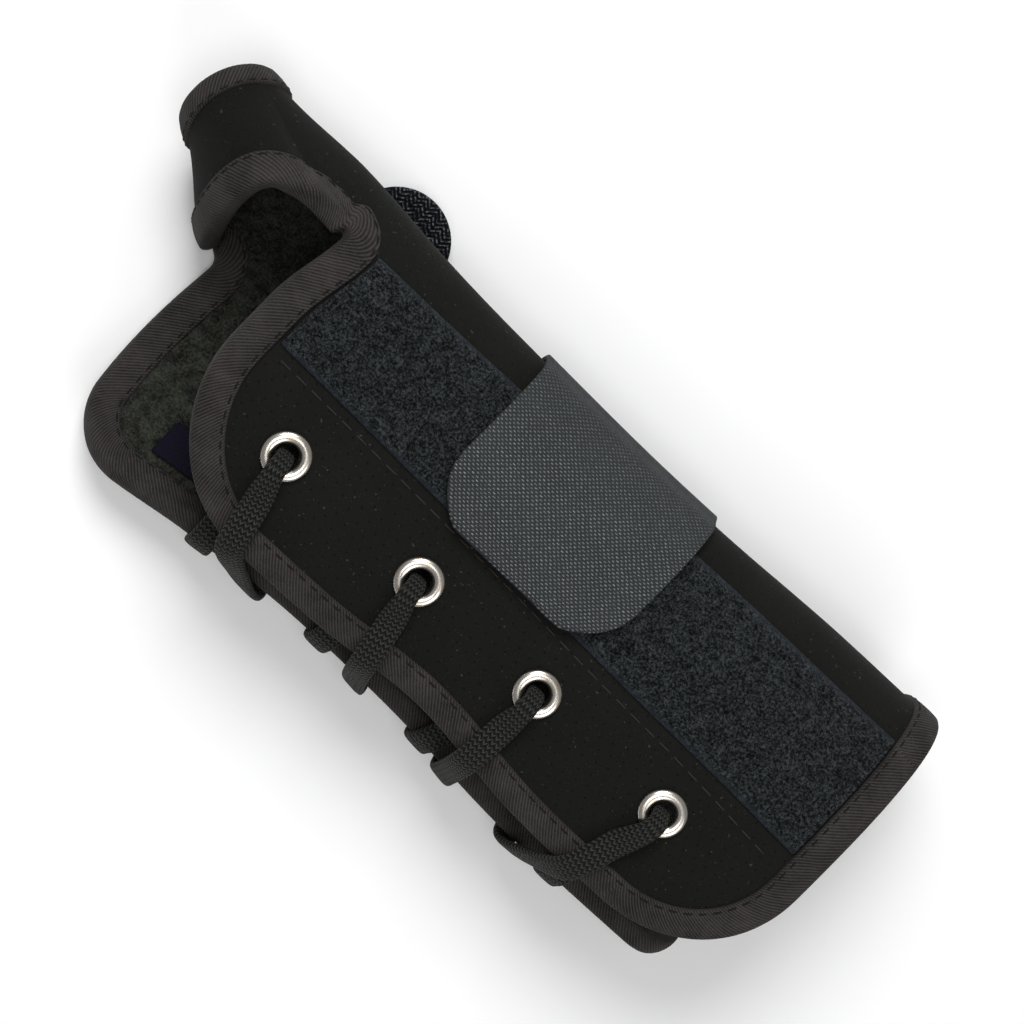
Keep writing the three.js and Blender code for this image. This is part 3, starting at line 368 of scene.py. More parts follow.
def photo_camera():
    """Looks down at the middle of the frame, turned so that the sleeve runs to the lower right."""
    right_share, down_share = PHOTO_X_AXIS
    level = Vector((math.cos(PHOTO_TILT), 0, math.sin(PHOTO_TILT)))
    side = Vector((0, 1, 0))
    back = Vector((-math.sin(PHOTO_TILT), 0, math.cos(PHOTO_TILT)))
    right = level * right_share + side * down_share
    up = side * right_share - level * down_share
    data = bpy.data.cameras.new("photo_camera")
    data.lens, data.sensor_width = 100, 36
    data.clip_start, data.clip_end = 0.01, 10
    camera = bpy.data.objects.new("photo_camera", data)
    distance = PHOTO_PIXELS * PHOTO_SCALE * 0.001 * data.lens / data.sensor_width
    turn = Matrix((right, up, back)).transposed().to_4x4()
    camera.matrix_world = Matrix.Translation(Vector(PHOTO_TARGET) + back * distance) @ turn
    bpy.context.scene.collection.objects.link(camera)
    bpy.context.scene.camera = camera


photo_camera()
bpy.context.scene.view_settings.view_transform = "Standard"


# Shader maths

class Value:
    """A number socket of a material; arithmetic on it adds maths nodes."""

    def __init__(self, shade, socket):
        self.shade, self.socket = shade, socket

    def maths(self, operation, *others, swap=False, clamp=False):
        node = self.shade.tree.nodes.new("ShaderNodeMath")
        node.operation, node.use_clamp = operation, clamp
        values = (*others, self) if swap else (self, *others)
        for slot, value in zip(node.inputs, values):
            self.shade.feed(slot, value)
        return Value(self.shade, node.outputs[0])

    def __add__(self, other): return self.maths("ADD", other)
    def __sub__(self, other): return self.maths("SUBTRACT", other)
    def __mul__(self, other): return self.maths("MULTIPLY", other)
    def __truediv__(self, other): return self.maths("DIVIDE", other)
    def __rsub__(self, other): return self.maths("SUBTRACT", other, swap=True)
    __radd__, __rmul__ = __add__, __mul__

    def sin(self): return self.maths("SINE")
    def abs(self): return self.maths("ABSOLUTE")
    def fract(self): return self.maths("FRACT")
    def floor(self): return self.maths("FLOOR")
    def root(self): return self.maths("SQRT")
    def clamped(self): return self.maths("ADD", 0.0, clamp=True)

    def step(self, start, end):
        """0 up to start, 1 from end on, smooth between; also falls when end is the smaller."""
        t = ((self - start) / (end - start)).clamped()
        return t * t * (3.0 - 2.0 * t)


class Shade:
    """One material: a Principled shader, fed by numbers and colours."""

    def __init__(self, name, **settings):
        self.material = bpy.data.materials.new(name)
        self.material.use_nodes = True
        self.tree = self.material.node_tree
        self.shader = next(n for n in self.tree.nodes if n.type == "BSDF_PRINCIPLED")
        for key, value in settings.items():
            label = key.replace("_", " ").title().replace("Ior", "IOR")
            self.shader.inputs[label].default_value = value

    def feed(self, slot, value):
        """Links or sets a socket; three numbers are a colour."""
        if isinstance(value, Value):
            self.tree.links.new(value.socket, slot)
        elif hasattr(value, "is_output"):
            self.tree.links.new(value, slot)
        elif isinstance(value, tuple) and len(value) == 3:
            slot.default_value = (*value, 1.0)
        else:
            slot.default_value = value

    def node(self, kind, out=0, inputs=(), **settings):
        node = self.tree.nodes.new("ShaderNode" + kind)
        for key, value in settings.items():
            setattr(node, key, value)
        for key, value in dict(inputs).items():
            self.feed(node.inputs[key], value)
        return node.outputs[out]

    def uv(self):
        """Along and across the cloth, in millimetres."""
        node = self.tree.nodes.new("ShaderNodeSeparateXYZ")
        self.tree.links.new(self.node("UVMap", uv_map="cloth"), node.inputs[0])
        return Value(self, node.outputs[0]), Value(self, node.outputs[1])

    def noise(self, size, detail=2.0, rough=0.5):
        """Noise with features of that many millimetres, mostly 0.3 to 0.7."""
        coordinates = self.node("TexCoord", out=3)
        inputs = {"Vector": coordinates, "Scale": 1000.0 / size, "Detail": detail, "Roughness": rough}
        return Value(self, self.node("TexNoise", inputs=inputs))

    def mix(self, low, high, factor):
        node = self.tree.nodes.new("ShaderNodeMix")
        node.data_type = "RGBA"
        self.feed(node.inputs["Factor"], factor)
        for slot, colour in ((node.inputs[6], low), (node.inputs[7], high)):
            self.feed(slot, colour)
        return node.outputs[2]

    def done(self, colour, height=None, depth=0.1, roughness=None):
        """Feeds colour, a relief of that depth in millimetres, and roughness."""
        self.feed(self.shader.inputs["Base Color"], colour)
        if roughness is not None:
            self.feed(self.shader.inputs["Roughness"], roughness)
        if height is not None:
            inputs = {"Height": height, "Distance": depth * 0.001, "Strength": 1.0}
            self.feed(self.shader.inputs["Normal"], self.node("Bump", inputs=inputs))
        return self.material


TAU = 2 * math.pi


def suede_material():
    """Nap noise, a staggered and unsteady lattice of pinholes painted near-black with painted shade, and
    pale specks.
    """
    m = Shade("suede", roughness=0.93, specular_ior_level=0.1, sheen_weight=0.02, sheen_roughness=0.5)
    u, v = m.uv()
    pitch, stray = 2.9, 0.7
    row = (v / pitch).floor()
    shifted = u / pitch + row * 0.5
    du = (shifted.fract() - 0.5 + (m.noise(9.0, 1.0) - 0.5) * stray) * pitch
    dv = ((v / pitch).fract() - 0.5 + (m.noise(7.0, 1.0) - 0.5) * stray) * pitch
    hole = (du * du + dv * dv).root().step(0.3, 0.15)
    nap = m.noise(0.6, 4.0, 0.75)
    patches = m.noise(16.0, 3.0)
    speck = m.noise(0.9, 1.0).step(0.72, 0.78) + m.noise(0.45, 1.0).step(0.7, 0.78) * 0.5
    base = m.mix((0.0034, 0.0035, 0.0032), (0.0112, 0.0113, 0.0102), nap * 0.6 + patches * 0.5)
    dusty = m.mix(base, (0.06, 0.055, 0.045), speck * 0.6)
    # painted shade: the pinholes are darkened towards near-black for the shade inside holes that the mesh
    # doesn't cut; they also dip in the relief
    return m.done(m.mix(dusty, (0.001, 0.001, 0.001), hole * 0.6), nap * 0.6 - hole * 0.6, 0.2)


def fleece_material():
    """Dark nap with paler tufts, a little green."""
    m = Shade("lining_fleece", roughness=0.97, specular_ior_level=0.08, sheen_weight=0.04,
              sheen_roughness=0.6)
    nap = m.noise(0.55, 5.0, 0.8)
    tufts = m.noise(2.5, 3.0)
    light = (nap * 0.8 + tufts * 0.35).step(0.42, 0.8)
    colour = m.mix((0.0008, 0.001, 0.0007), (0.058, 0.062, 0.048), light)
    return m.done(colour, nap + tufts * 0.5, 0.5)


def tape_material():
    """Fine diagonal ribs, fibres and worn light patches."""
    m = Shade("edge_tape", roughness=0.85, specular_ior_level=0.15, sheen_weight=0.03, sheen_roughness=0.4)
    u, v = m.uv()
    wander = m.noise(5.0, 2.0)
    rib = ((u + v * 0.85 + wander * 0.5) * (TAU / 0.86)).sin() * 0.5 + 0.5
    fibre = m.noise(0.4, 3.0, 0.75)
    patches = m.noise(7.0, 4.0, 0.65)
    light = rib * 0.5 + (fibre - 0.35) * 0.8 + (patches - 0.4) * 0.9
    colour = m.mix((0.004, 0.0036, 0.0034), (0.062, 0.055, 0.0525), light)
    return m.done(colour, rib * 0.7 + fibre * 0.5, 0.2)


def pile_material():
    """Bluish fuzz of loops, with a plain selvedge along both edges."""
    m = Shade("loop_pile", roughness=0.95, specular_ior_level=0.1, sheen_weight=0.04, sheen_roughness=0.4)
    _, v = m.uv()
    loops, tufts = m.noise(0.62, 3.0, 0.85), m.noise(2.0, 3.0, 0.6)
    fuzz = (loops * 0.95 + tufts * 0.25).step(0.51, 0.8)
    edge = v.step(1.3, 0.5)
    colour = m.mix((0.0006, 0.0009, 0.0011), (0.066, 0.077, 0.083), fuzz)
    return m.done(m.mix(colour, (0.018, 0.024, 0.031), edge * 0.6), loops + tufts * 0.6, 0.75)


def basket_material():
    """Basket weave: squares of thread along and squares of thread across, flecked with pale hooks; painted
    shade dims the flecks from just before the fold round the thumb side.
    """
    m = Shade("strap_weave", roughness=0.8, specular_ior_level=0.15)
    u, v = m.uv()
    wander = m.noise(3.0, 3.0) * 0.5
    square = 0.62
    a, b = (u + wander) / square, (v + wander) / square
    turned = ((a.floor() + b.floor()) / 2.0).fract() * 2.0
    humps = [(side.fract() * math.pi).sin() for side in (a, b)]
    thread = humps[0] * turned + humps[1] * (1.0 - turned)
    fleck = m.noise(0.5, 2.0, 0.8).step(0.4, 0.68)
    patches = m.noise(9.0, 3.0)
    # painted shade: the pale flecks are dimmed to 0.45 from 6 mm before the fold on to the rear end, easing
    # back over 28 mm on the front, where the strap curves away from the light
    painted_fold_shade = u.step(STRAP_FOLD_AT - 6.0, STRAP_FOLD_AT - 34.0) * 0.55 + 0.45
    light = thread.step(0.55, 1.0) * turned.step(0.2, 0.8) * (fleck * 0.8 + 0.25) * painted_fold_shade
    colour = m.mix((0.033, 0.0365, 0.0385), (0.235, 0.255, 0.26), light + (patches - 0.4) * 0.08)
    return m.done(colour, thread + fleck * 0.3, 0.22)


def zigzag_material():
    """Herringbone twill: slanted runs that turn back every few millimetres, flecked with pale thread."""
    m = Shade("thumb_strap_twill", roughness=0.8, specular_ior_level=0.15)
    u, v = m.uv()
    turn = ((v / 3.4).fract() - 0.5).abs()
    slant = ((u / 1.15 + turn * 2.6 + m.noise(4.0) * 0.5) * TAU).sin() * 0.5 + 0.5
    fleck = m.noise(0.55, 2.0, 0.7).step(0.42, 0.66)
    colour = m.mix((0.0012, 0.0016, 0.0026), (0.14, 0.16, 0.18), slant.step(0.35, 0.95) * fleck)
    return m.done(colour, slant, 0.3)


def braid_material():
    """Herringbone: two slanted runs of stitches that meet along the lace's middle lines."""
    m = Shade("lace_braid", roughness=0.8, specular_ior_level=0.18, sheen_weight=0.03, sheen_roughness=0.4)
    u, v = m.uv()
    rib = 1.24
    fold = ((v / rib).fract() - 0.5).abs()
    slant = ((u / 1.25 + fold * 1.2) * TAU).sin() * 0.5 + 0.5
    groove = fold.step(0.36, 0.5)
    fibre = m.noise(0.3, 3.0, 0.7)
    # painted shade: the grooves along the lace's middle lines are darkened by 0.4, as well as sunk in the
    # relief
    light = slant.step(0.3, 1.0) * 0.75 + (fibre - 0.4) * 0.6 - groove * 0.4
    colour = m.mix((0.001, 0.001, 0.001), (0.045, 0.046, 0.042), light)
    return m.done(colour, slant * 0.8 - groove + fibre * 0.3, 0.25)


def plain_material(name, colour, roughness, **settings):
    """One colour with a fibrous grain, for small pieces and threads."""
    m = Shade(name, roughness=roughness, **settings)
    fibre = m.noise(0.35, 3.0, 0.7)
    tint = tuple(c * 0.55 for c in colour)
    return m.done(m.mix(tint, colour, fibre * 1.4 - 0.2), fibre, 0.15)


def nickel_material():
    """Polished metal with warmer, duller worn places."""
    m = Shade("nickel", metallic=1.0)
    wear = m.noise(2.5, 4.0, 0.6)
    colour = m.mix((0.7, 0.66, 0.6), (0.52, 0.42, 0.31), wear.step(0.45, 0.75))
    return m.done(colour, roughness=wear * 0.22 + 0.14)


SUEDE, FLEECE, TAPE, PILE_FUZZ = suede_material(), fleece_material(), tape_material(), pile_material()
STRAP = basket_material()
THUMB_WEAVE = zigzag_material()
BRAID, NICKEL = braid_material(), nickel_material()
NAVY = plain_material("lining_tape", (0.0085, 0.0078, 0.0165), 0.95, specular_ior_level=0.1)
THREAD = plain_material("tape_thread", (0.012, 0.011, 0.0105), 0.85, specular_ior_level=0.15)
PALE_THREAD = plain_material("flap_thread", (0.04, 0.034, 0.028), 0.85, specular_ior_level=0.15)


# Mesh building

def warp(p):
    """Soft unevenness of cloth: a few long waves, under half a millimetre, the same for every piece."""
    x, y, z = p[:, 0], p[:, 1], p[:, 2]
    wave = (
        0.16 * np.sin(x / 9.0 + y / 17.0) + 0.14 * np.sin(x / 14.0 - z / 8.0 + 1.0)
        + 0.12 * np.sin(y / 7.5 + x / 23.0 + 2.0)
    )
    lift = np.stack([0.25 * wave, 0.6 * wave, wave * np.clip(z / 12.0 - 0.3, 0, 1)], 1)
    return p + lift


def make(name, points, faces, materials, uv=None, indices=None, node=None):
    """An object at the origin from points in millimetres, quads, uv per point and a material per face."""
    points = (warp(np.asarray(points, float)) + SHIFT) * 0.001
    faces = np.asarray(faces)
    mesh = bpy.data.meshes.new(name)
    mesh.vertices.add(len(points))
    mesh.vertices.foreach_set("co", points.ravel())
    mesh.loops.add(faces.size)
    mesh.loops.foreach_set("vertex_index", faces.ravel().astype(np.int32))
    mesh.polygons.add(len(faces))
    mesh.polygons.foreach_set("loop_start", np.arange(0, faces.size, faces.shape[1], dtype=np.int32))
    if uv is not None:
        layer = mesh.uv_layers.new(name="cloth")
        layer.data.foreach_set("uv", np.asarray(uv, float)[faces.ravel()].ravel())
    mesh.update(calc_edges=True)
    mesh.validate()
    mesh.polygons.foreach_set("use_smooth", np.full(len(mesh.polygons), True))
    for material in materials:
        mesh.materials.append(material)
    if indices is not None:
        mesh.polygons.foreach_set("material_index", np.asarray(indices, np.int32))
    obj = bpy.data.objects.new(name, mesh)
    bpy.context.scene.collection.objects.link(obj)
    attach(obj, "root")
    if node:
        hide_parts(*([node] if isinstance(node, str) else node))
    return obj


def grid_faces(rows, columns, close_rows=False, close_columns=False):
    """Quads between the points of a grid, also from its last row or column back to the first on request."""
    i = np.arange(rows if close_rows else rows - 1)
    j = np.arange(columns if close_columns else columns - 1)
    a, b = np.meshgrid(i, j, indexing="ij")
    c, d = (a + 1) % rows, (b + 1) % columns
    corners = [a * columns + b, a * columns + d, c * columns + d, c * columns + b]
    return np.stack(corners, -1).reshape(-1, 4)


def lengths(points, axis):
    """Running length along one axis of a grid of points."""
    steps = np.linalg.norm(np.diff(points, axis=axis), axis=-1)
    pad = [(0, 0), (0, 0)]
    pad[axis] = (1, 0)
    return np.cumsum(np.pad(steps, pad), axis=axis)


def running_length(line):
    """Length from the first point of a line up to each point."""
    return np.concatenate([[0], np.cumsum(np.linalg.norm(np.diff(line, axis=0), axis=1))])


def grid_shares(rows, columns):
    """Shares from 0 to 1 down the rows and along the columns of a grid."""
    return np.linspace(0, 1, rows)[:, None], np.linspace(0, 1, columns)[None, :]


# Sleeve: suede outside, fleece inside, holes where the eyelets sit

EYELETS = []
for row in LACES:
    ex = row["eyelet"] * LENGTH
    spot, facing = above(ex, angle_at(ex, EYELET_ACROSS * WIDTH), 0.0)
    EYELETS.append((spot, facing))


def sleeve():
    """Outer and inner face, with the cloth's measure run on from the sleeve into the thumb tube."""
    count = len(SURFACE)
    points = np.vstack([SURFACE, SURFACE - NORMALS * WALL])
    middle = SURFACE[QUADS].mean(1)
    keep = np.ones(len(QUADS), bool)
    for spot, _ in EYELETS:
        keep &= np.linalg.norm(middle - spot, axis=1) > EYELET_HOLE + EYELET_CLEARANCE
    quads = QUADS[keep]
    main = SURFACE[:GRID.size].reshape(*GRID.shape, 3)
    around = lengths(main, 1)
    uv = np.zeros((count, 2))
    uv[:GRID.size, 0] = SURFACE[:GRID.size, 0]
    uv[:GRID.size, 1] = around.ravel()
    tube = SURFACE[THUMB]
    high = uv[THUMB[0]].copy()
    high[:, 1] = uv[THUMB[0, 0], 1] + running_length(tube[0])
    high[:, 0] = TUBE_CLOTH_START
    reach = lengths(tube, 0)
    fresh = THUMB[1:]
    uv[fresh, 0] = high[None, :, 0] - reach[1:]
    uv[fresh, 1] = high[None, :, 1]
    uv[THUMB[0, JOINED:]] = high[JOINED:]
    faces = np.vstack([quads, quads[:, ::-1] + count])
    kinds = np.repeat([0, 1], len(quads))
    return make("sleeve", points, faces, [SUEDE, FLEECE], np.vstack([uv, uv]), kinds, node="sleeve_shell")


# Edge tapes

def on_surface(points):
    """Nearest points of the sleeve's outer face, the normals there and the distances to them."""
    found = [TREE.find_nearest(Vector(q)) for q in points.tolist()]
    return tuple(np.array(values) for values in zip(*((f[0][:], f[1][:], f[3]) for f in found)))


def rim_frames(numbers, closed):
    """Point, normal, inward direction and running length at each vertex of a rim."""
    p, n = SURFACE[numbers], NORMALS[numbers]
    if closed:
        before, after = np.roll(p, 2, 0), np.roll(p, -2, 0)
    else:
        order = np.arange(len(p))
        before, after = p[np.maximum(order - 2, 0)], p[np.minimum(order + 2, len(p) - 1)]
    tangent = unit(after - before)
    n = unit(n - tangent * (n * tangent).sum(1, keepdims=True))
    inward = unit(np.cross(tangent, n))
    probe = 1.5  # the way in is the side where the sleeve is nearer
    off = on_surface(p + inward * probe)[2] > on_surface(p - inward * probe)[2]
    inward[off] *= -1
    return p, n, inward, running_length(p)


def tape_profile(p, n, inward, width):
    """Section of the tape at each frame: flat outside, rolled over the edge, flat inside."""
    outer = GAP + TAPE_THICKNESS
    shares = np.array([1.0, 0.985, 0.93, 0.86, 0.8, 0.55, 0.28, 0.08])
    heights = np.array([-0.15, 0.62, 0.88, 0.78, 0.97, 1.06, 1.1, 1.04]) * outer
    rows = []
    for share, height in zip(shares, heights):
        spot, normal, _ = on_surface(p + inward * (share * width))
        rows.append((spot, unit(normal + 0.35 * n), height))
    top = [spot + normal * height for spot, normal, height in rows]
    bottom = [spot - normal * (WALL + height) for spot, normal, height in rows]
    half, bulge, lead = WALL / 2, outer + 0.25, 0.18
    turn = [p - n * half + n * ((half + outer) * math.cos(a)) - inward * (bulge * math.sin(a) ** 0.75)
            for a in np.linspace(lead, math.pi - lead, 9)]
    return np.stack(top + turn + bottom[::-1], 1)


def smoothed(values, closed, passes=3):
    """Values averaged with their neighbours along a line."""
    for _ in range(passes):
        if closed:
            values = (np.roll(values, 1, 0) + 2 * values + np.roll(values, -1, 0)) / 4
        else:
            values = values.copy()
            values[1:-1] = (values[:-2] + 2 * values[1:-1] + values[2:]) / 4
    return values


def tape(name, numbers, closed, width):
    """Edge tape along a rim, with a row of stitches on both faces."""
    p, n, inward, run = rim_frames(numbers, closed)
    inward = unit(smoothed(inward, closed))
    n = unit(smoothed(n, closed))
    ring = smoothed(tape_profile(p, n, inward, width), closed, 2)
    across = lengths(ring, 1)
    uv = np.stack([np.broadcast_to(run[:, None], across.shape), across], -1)
    faces = grid_faces(ring.shape[0], ring.shape[1], close_rows=closed)
    make(name, ring.reshape(-1, 3), faces, [TAPE], uv.reshape(-1, 2), node=name)
    for side, k, sign in (("outer", 3, 1), ("inner", -4, -1)):
        facing = sign * n
        line = ring[:, k] + facing * 0.1
        seam(f"{name}_{side}_stitches", line, facing, pitch=3.3, length=2.1, radius=0.2, material=THREAD)


def seam(name, line, facing, pitch, length, radius, material):
    """Stitches along a line: short capsules that dip at both ends."""
    run = running_length(line)
    starts = np.arange(pitch / 2, run[-1] - pitch / 2, pitch)
    offsets = np.array([-0.5, -0.42, 0.0, 0.42, 0.5]) * length
    girth = np.array([0.35, 0.95, 1.0, 0.95, 0.35]) * radius
    sink = np.array([-1.3, -0.35, 0.25, -0.35, -1.3]) * radius
    at = starts[:, None] + offsets
    read = lambda values: np.stack([np.interp(at, run, values[:, k]) for k in range(3)], -1)
    centre, up = read(line), unit(read(facing))
    along = unit(np.gradient(centre, axis=1))
    aside = unit(np.cross(along, up))
    centre = centre + up * sink[None, :, None]
    rings, sides = len(girth), 6
    angle = np.arange(sides) / sides * TAU
    ring = (aside[:, :, None] * np.cos(angle)[:, None] + up[:, :, None] * np.sin(angle)[:, None])
    points = centre[:, :, None] + ring * girth[None, :, None, None]
    first = np.arange(len(starts)) * rings * sides
    faces = grid_faces(rings, sides, close_columns=True)[None] + first[:, None, None]
    return make(name, points.reshape(-1, 3), faces.reshape(-1, 4), [material])


# Vertices of the hand opening's rim and of the panels' rim, which meet at both panels' hand corners
HAND_RIM = np.concatenate([
    GRID[-1, -2:PALM:-1], [THUMB[0, JOINED - 1]], THUMB[0, JOINED:], [THUMB[0, 0]],
    GRID[-1, CROTCH - 1:0:-1],
])
PANEL_RIM = np.concatenate([GRID[-1, 1:2], GRID[::-1, 0], GRID[0, 1:], GRID[1:, -1], GRID[-1, -2:-3:-1]])


# Sheets that lie on the sleeve

def thick_sheet(name, upper, lower, material, uv):
    """Closed slab between two grids, with rounded edges from a ring of points half way."""
    rows, columns = upper.shape[:2]
    a = np.arange(rows * columns).reshape(rows, columns)
    border = np.concatenate([a[0, :-1], a[:-1, -1], a[-1, :0:-1], a[:0:-1, 0]])
    flat_upper, flat_lower = upper.reshape(-1, 3), lower.reshape(-1, 3)
    middle = (flat_upper[border] + flat_lower[border]) / 2
    inside = np.concatenate([a[1, :-1], a[:-1, -2], a[-2, :0:-1], a[:0:-1, 1]])
    middle = middle + unit(flat_upper[border] - flat_upper[inside]) * SHEET_ROUNDING
    count, ring = rows * columns, len(border)
    faces = grid_faces(rows, columns)
    hoop = 2 * count + np.arange(ring)
    nxt, nhoop = np.roll(border, -1), np.roll(hoop, -1)
    sides = np.vstack([
        np.stack([border, hoop, nhoop, nxt], 1),
        np.stack([hoop, border + count, nxt + count, nhoop], 1),
    ])
    faces = np.vstack([faces, faces[:, ::-1] + count, sides])
    points = np.vstack([flat_upper, flat_lower, middle])
    uv = uv.reshape(-1, 2)
    return make(name, points, faces, [material], np.vstack([uv, uv, uv[border]]), node=name)


def pile_strip():
    """Strip on the front from one end's edge tape to the other's, its loops as fine random heights."""
    t, w = grid_shares(560, 130)
    hand, forearm = (lerp(PILE["ulnar"][k], PILE["thumb"][k], w) * WIDTH for k in (0, 1))
    hand_x = hand_end(angle_at(HAND_CUT["front"] * LENGTH, hand)) + PILE_SEAT
    forearm_x = forearm_end(angle_at(FOREARM_CUT["front"] * LENGTH, forearm)) - PILE_SEAT
    x = lerp(hand_x, forearm_x, t)
    angle = angle_at(x, lerp(hand, forearm, t))
    loops = RNG.uniform(*PILE_GRAIN, x.shape)
    edge = np.minimum(w, 1 - w) * PILE_WIDTH
    height = (GAP + PILE_THICKNESS - PILE_NAP + loops * np.clip(edge - 0.8, 0, 1)
              - PILE_NAP * np.clip(1.2 - edge, 0, 1))
    upper, _ = above(x, angle, height)
    lower, _ = above(x, angle, np.full_like(x, 0.1))
    thick_sheet("pile_strip", upper, lower, PILE_FUZZ, np.stack([x, edge + 0 * t], -1))


def wrist_strap():
    """From the rounded free end on the pile, round the thumb side, to the tab underneath."""
    t, w = grid_shares(200, 100)
    start = angle_at(STRAP_AT_FRONT * LENGTH, STRAP_FREE_END * WIDTH)
    end = angle_at(STRAP_AT_REAR * LENGTH, TAB_ACROSS * WIDTH + TAB_WIDTH / 2 + GAP, -1)
    probe = 20  # degrees over which the strap's length per degree is read
    per_degree = arc_length(STRAP_AT_FRONT * LENGTH, start - probe, start) / probe
    side = STRAP_WIDTH * (w - 0.5)
    first = start - cut_back(STRAP_END_RADIUS, STRAP_WIDTH / 2 - np.abs(side)) / per_degree
    angle = lerp(first, end, t)
    x = lerp(STRAP_AT_FRONT, STRAP_AT_REAR, (start - angle) / (start - end)) * LENGTH + side
    on_pile = smooth(np.clip((angle - PILE_RISE[0]) / (PILE_RISE[1] - PILE_RISE[0]), 0, 1))
    lift = (PILE_THICKNESS + 1.7 * GAP) * on_pile
    upper, _ = above(x, angle, GAP + STRAP_THICKNESS + lift)
    lower, _ = above(x, angle, GAP + lift)
    run = lengths(upper, 0)
    uv = np.stack([run - run[-1:], side + 0 * t], -1)
    thick_sheet("wrist_strap", upper, lower, STRAP, uv)


def thumb_strap():
    """Flat on the rear face, then straight out past the thumb side to a round end."""
    t, w = grid_shares(70, 40)
    leave, low = 0.24 * WIDTH, GAP + THUMB_STRAP_THICKNESS / 2
    side = THUMB_STRAP_WIDTH * (w - 0.5) * 0.999
    reach = THUMB_STRAP_END * WIDTH - cut_back(THUMB_STRAP_WIDTH / 2, THUMB_STRAP_WIDTH / 2 - np.abs(side))
    y = lerp(THUMB_STRAP_START * WIDTH, reach, t)
    x = THUMB_STRAP_AT * LENGTH + side + 0 * t
    held = np.minimum(y, leave)
    middle, normal = above(x, angle_at(x, held, -1), low)
    past = np.maximum(y - leave, 0)
    middle = middle + past[..., None] * np.array([0, 1, THUMB_STRAP_RISE])
    half = normal * THUMB_STRAP_THICKNESS / 2
    uv = np.stack([y, side + 0 * t], -1)
    thick_sheet("thumb_strap", middle - half, middle + half, THUMB_WEAVE, uv)


def lining_patch():
    """Napped tape on the lining, inside the rear panel's hand end."""
    t, w = grid_shares(50, 30)
    x = lerp(LINING_TAPE["from"], LINING_TAPE["to"], t) * LENGTH + 0 * w
    probe = 20  # degrees
    per_degree = arc_length(x, REAR_ANGLE, REAR_ANGLE + probe) / probe
    angle = REAR_ANGLE + lerp(LINING_TAPE["near"], LINING_TAPE["far"], w) / per_degree
    fuzz = RNG.uniform(-LINING_GRAIN, LINING_GRAIN, x.shape)
    upper, _ = above(x, angle, -WALL - GAP)
    lower, _ = above(x, angle, -WALL - GAP - LINING_TAPE_THICKNESS + fuzz)
    thick_sheet("lining_tape", upper, lower, NAVY, np.stack([x, LINING_CLOTH_WIDTH * w + 0 * t], -1))


def lace_tab():
    """Level plate with rounded corners at the strap's rear end."""
    corner = np.linspace(0, math.pi / 2, 7)
    outline = np.vstack([
        np.stack([sx * (TAB_LENGTH / 2 - TAB_CORNER) + TAB_CORNER * np.cos(corner + a),
                  sy * (TAB_WIDTH / 2 - TAB_CORNER) + TAB_CORNER * np.sin(corner + a)], 1)
        for sx, sy, a in ((1, 1, 0), (-1, 1, math.pi / 2), (-1, -1, math.pi), (1, -1, 3 * math.pi / 2))
    ])
    bevel = 0.35
    levels = ((0.0, 0.0), (0.9, 0.0), (0.97, 0.0), (1.0, bevel), (1.0, TAB_THICKNESS - bevel),
              (0.97, TAB_THICKNESS), (0.0, TAB_THICKNESS))
    rings = [np.column_stack([outline * size, np.full(len(outline), z)]) for size, z in levels]
    points = np.vstack(rings) + (STRAP_AT_REAR * LENGTH, TAB_ACROSS * WIDTH, 0)
    faces = grid_faces(len(levels), len(outline), close_columns=True)
    make("lace_tab", points, faces, [STRAP], points[:, :2], node="lace_tab")


def flap_seam():
    """Pale stitch line along the flap, a few millimetres beside the pile strip."""
    x = np.linspace(*FLAP_SEAM_SPAN, 400) * LENGTH
    y = np.interp(x, FLAP_SEAM["along"], FLAP_SEAM["across"])
    line, facing = above(x, angle_at(x, y), 0.08)
    seam("flap_stitches", line, facing, pitch=4.4, length=3.1, radius=0.19, material=PALE_THREAD)


# Eyelets and laces

def eyelets():
    """Lathed ring: rolled flange outside, barrel through the wall, thin flange inside."""
    barrel = EYELET_HOLE + EYELET_BARREL
    crown, half = (EYELET_RADIUS + EYELET_HOLE) / 2, (EYELET_RADIUS - EYELET_HOLE) / 2
    roll = [(crown + half * math.cos(t), GAP * 0.3 + (EYELET_FLANGE + 0.2) * math.sin(t) ** 0.8)
            for t in np.linspace(0, math.pi, 13)]
    rear_radius, rear_face, rear_end = EYELET_RADIUS - 1, -WALL - GAP, -WALL - 3 * GAP
    profile = [
        (barrel, 0.0), *roll, (EYELET_HOLE - 0.05, -0.6), (EYELET_HOLE, rear_end),
        (rear_radius, rear_end), (rear_radius, rear_face), (barrel, rear_face),
    ]
    r, h = np.array(profile).T
    steps = 72
    turns = np.arange(steps) / steps * TAU
    for k, (spot, facing) in enumerate(EYELETS, 1):
        side = unit(np.cross(facing, (0.0, 1.0, 0.0)))
        front = np.cross(side, facing)
        round_ = side * np.cos(turns)[:, None] + front * np.sin(turns)[:, None]
        points = spot + facing * h[:, None, None] + round_[None] * r[:, None, None]
        faces = grid_faces(len(r), steps, True, True)
        make(f"eyelet_{k}", points.reshape(-1, 3), faces, [NICKEL], node=f"eyelet_{k}")


def square_to(vectors, tangent):
    """Unit vectors with what they have along the tangent taken out."""
    return unit(vectors - tangent * (vectors * tangent).sum(1, keepdims=True))


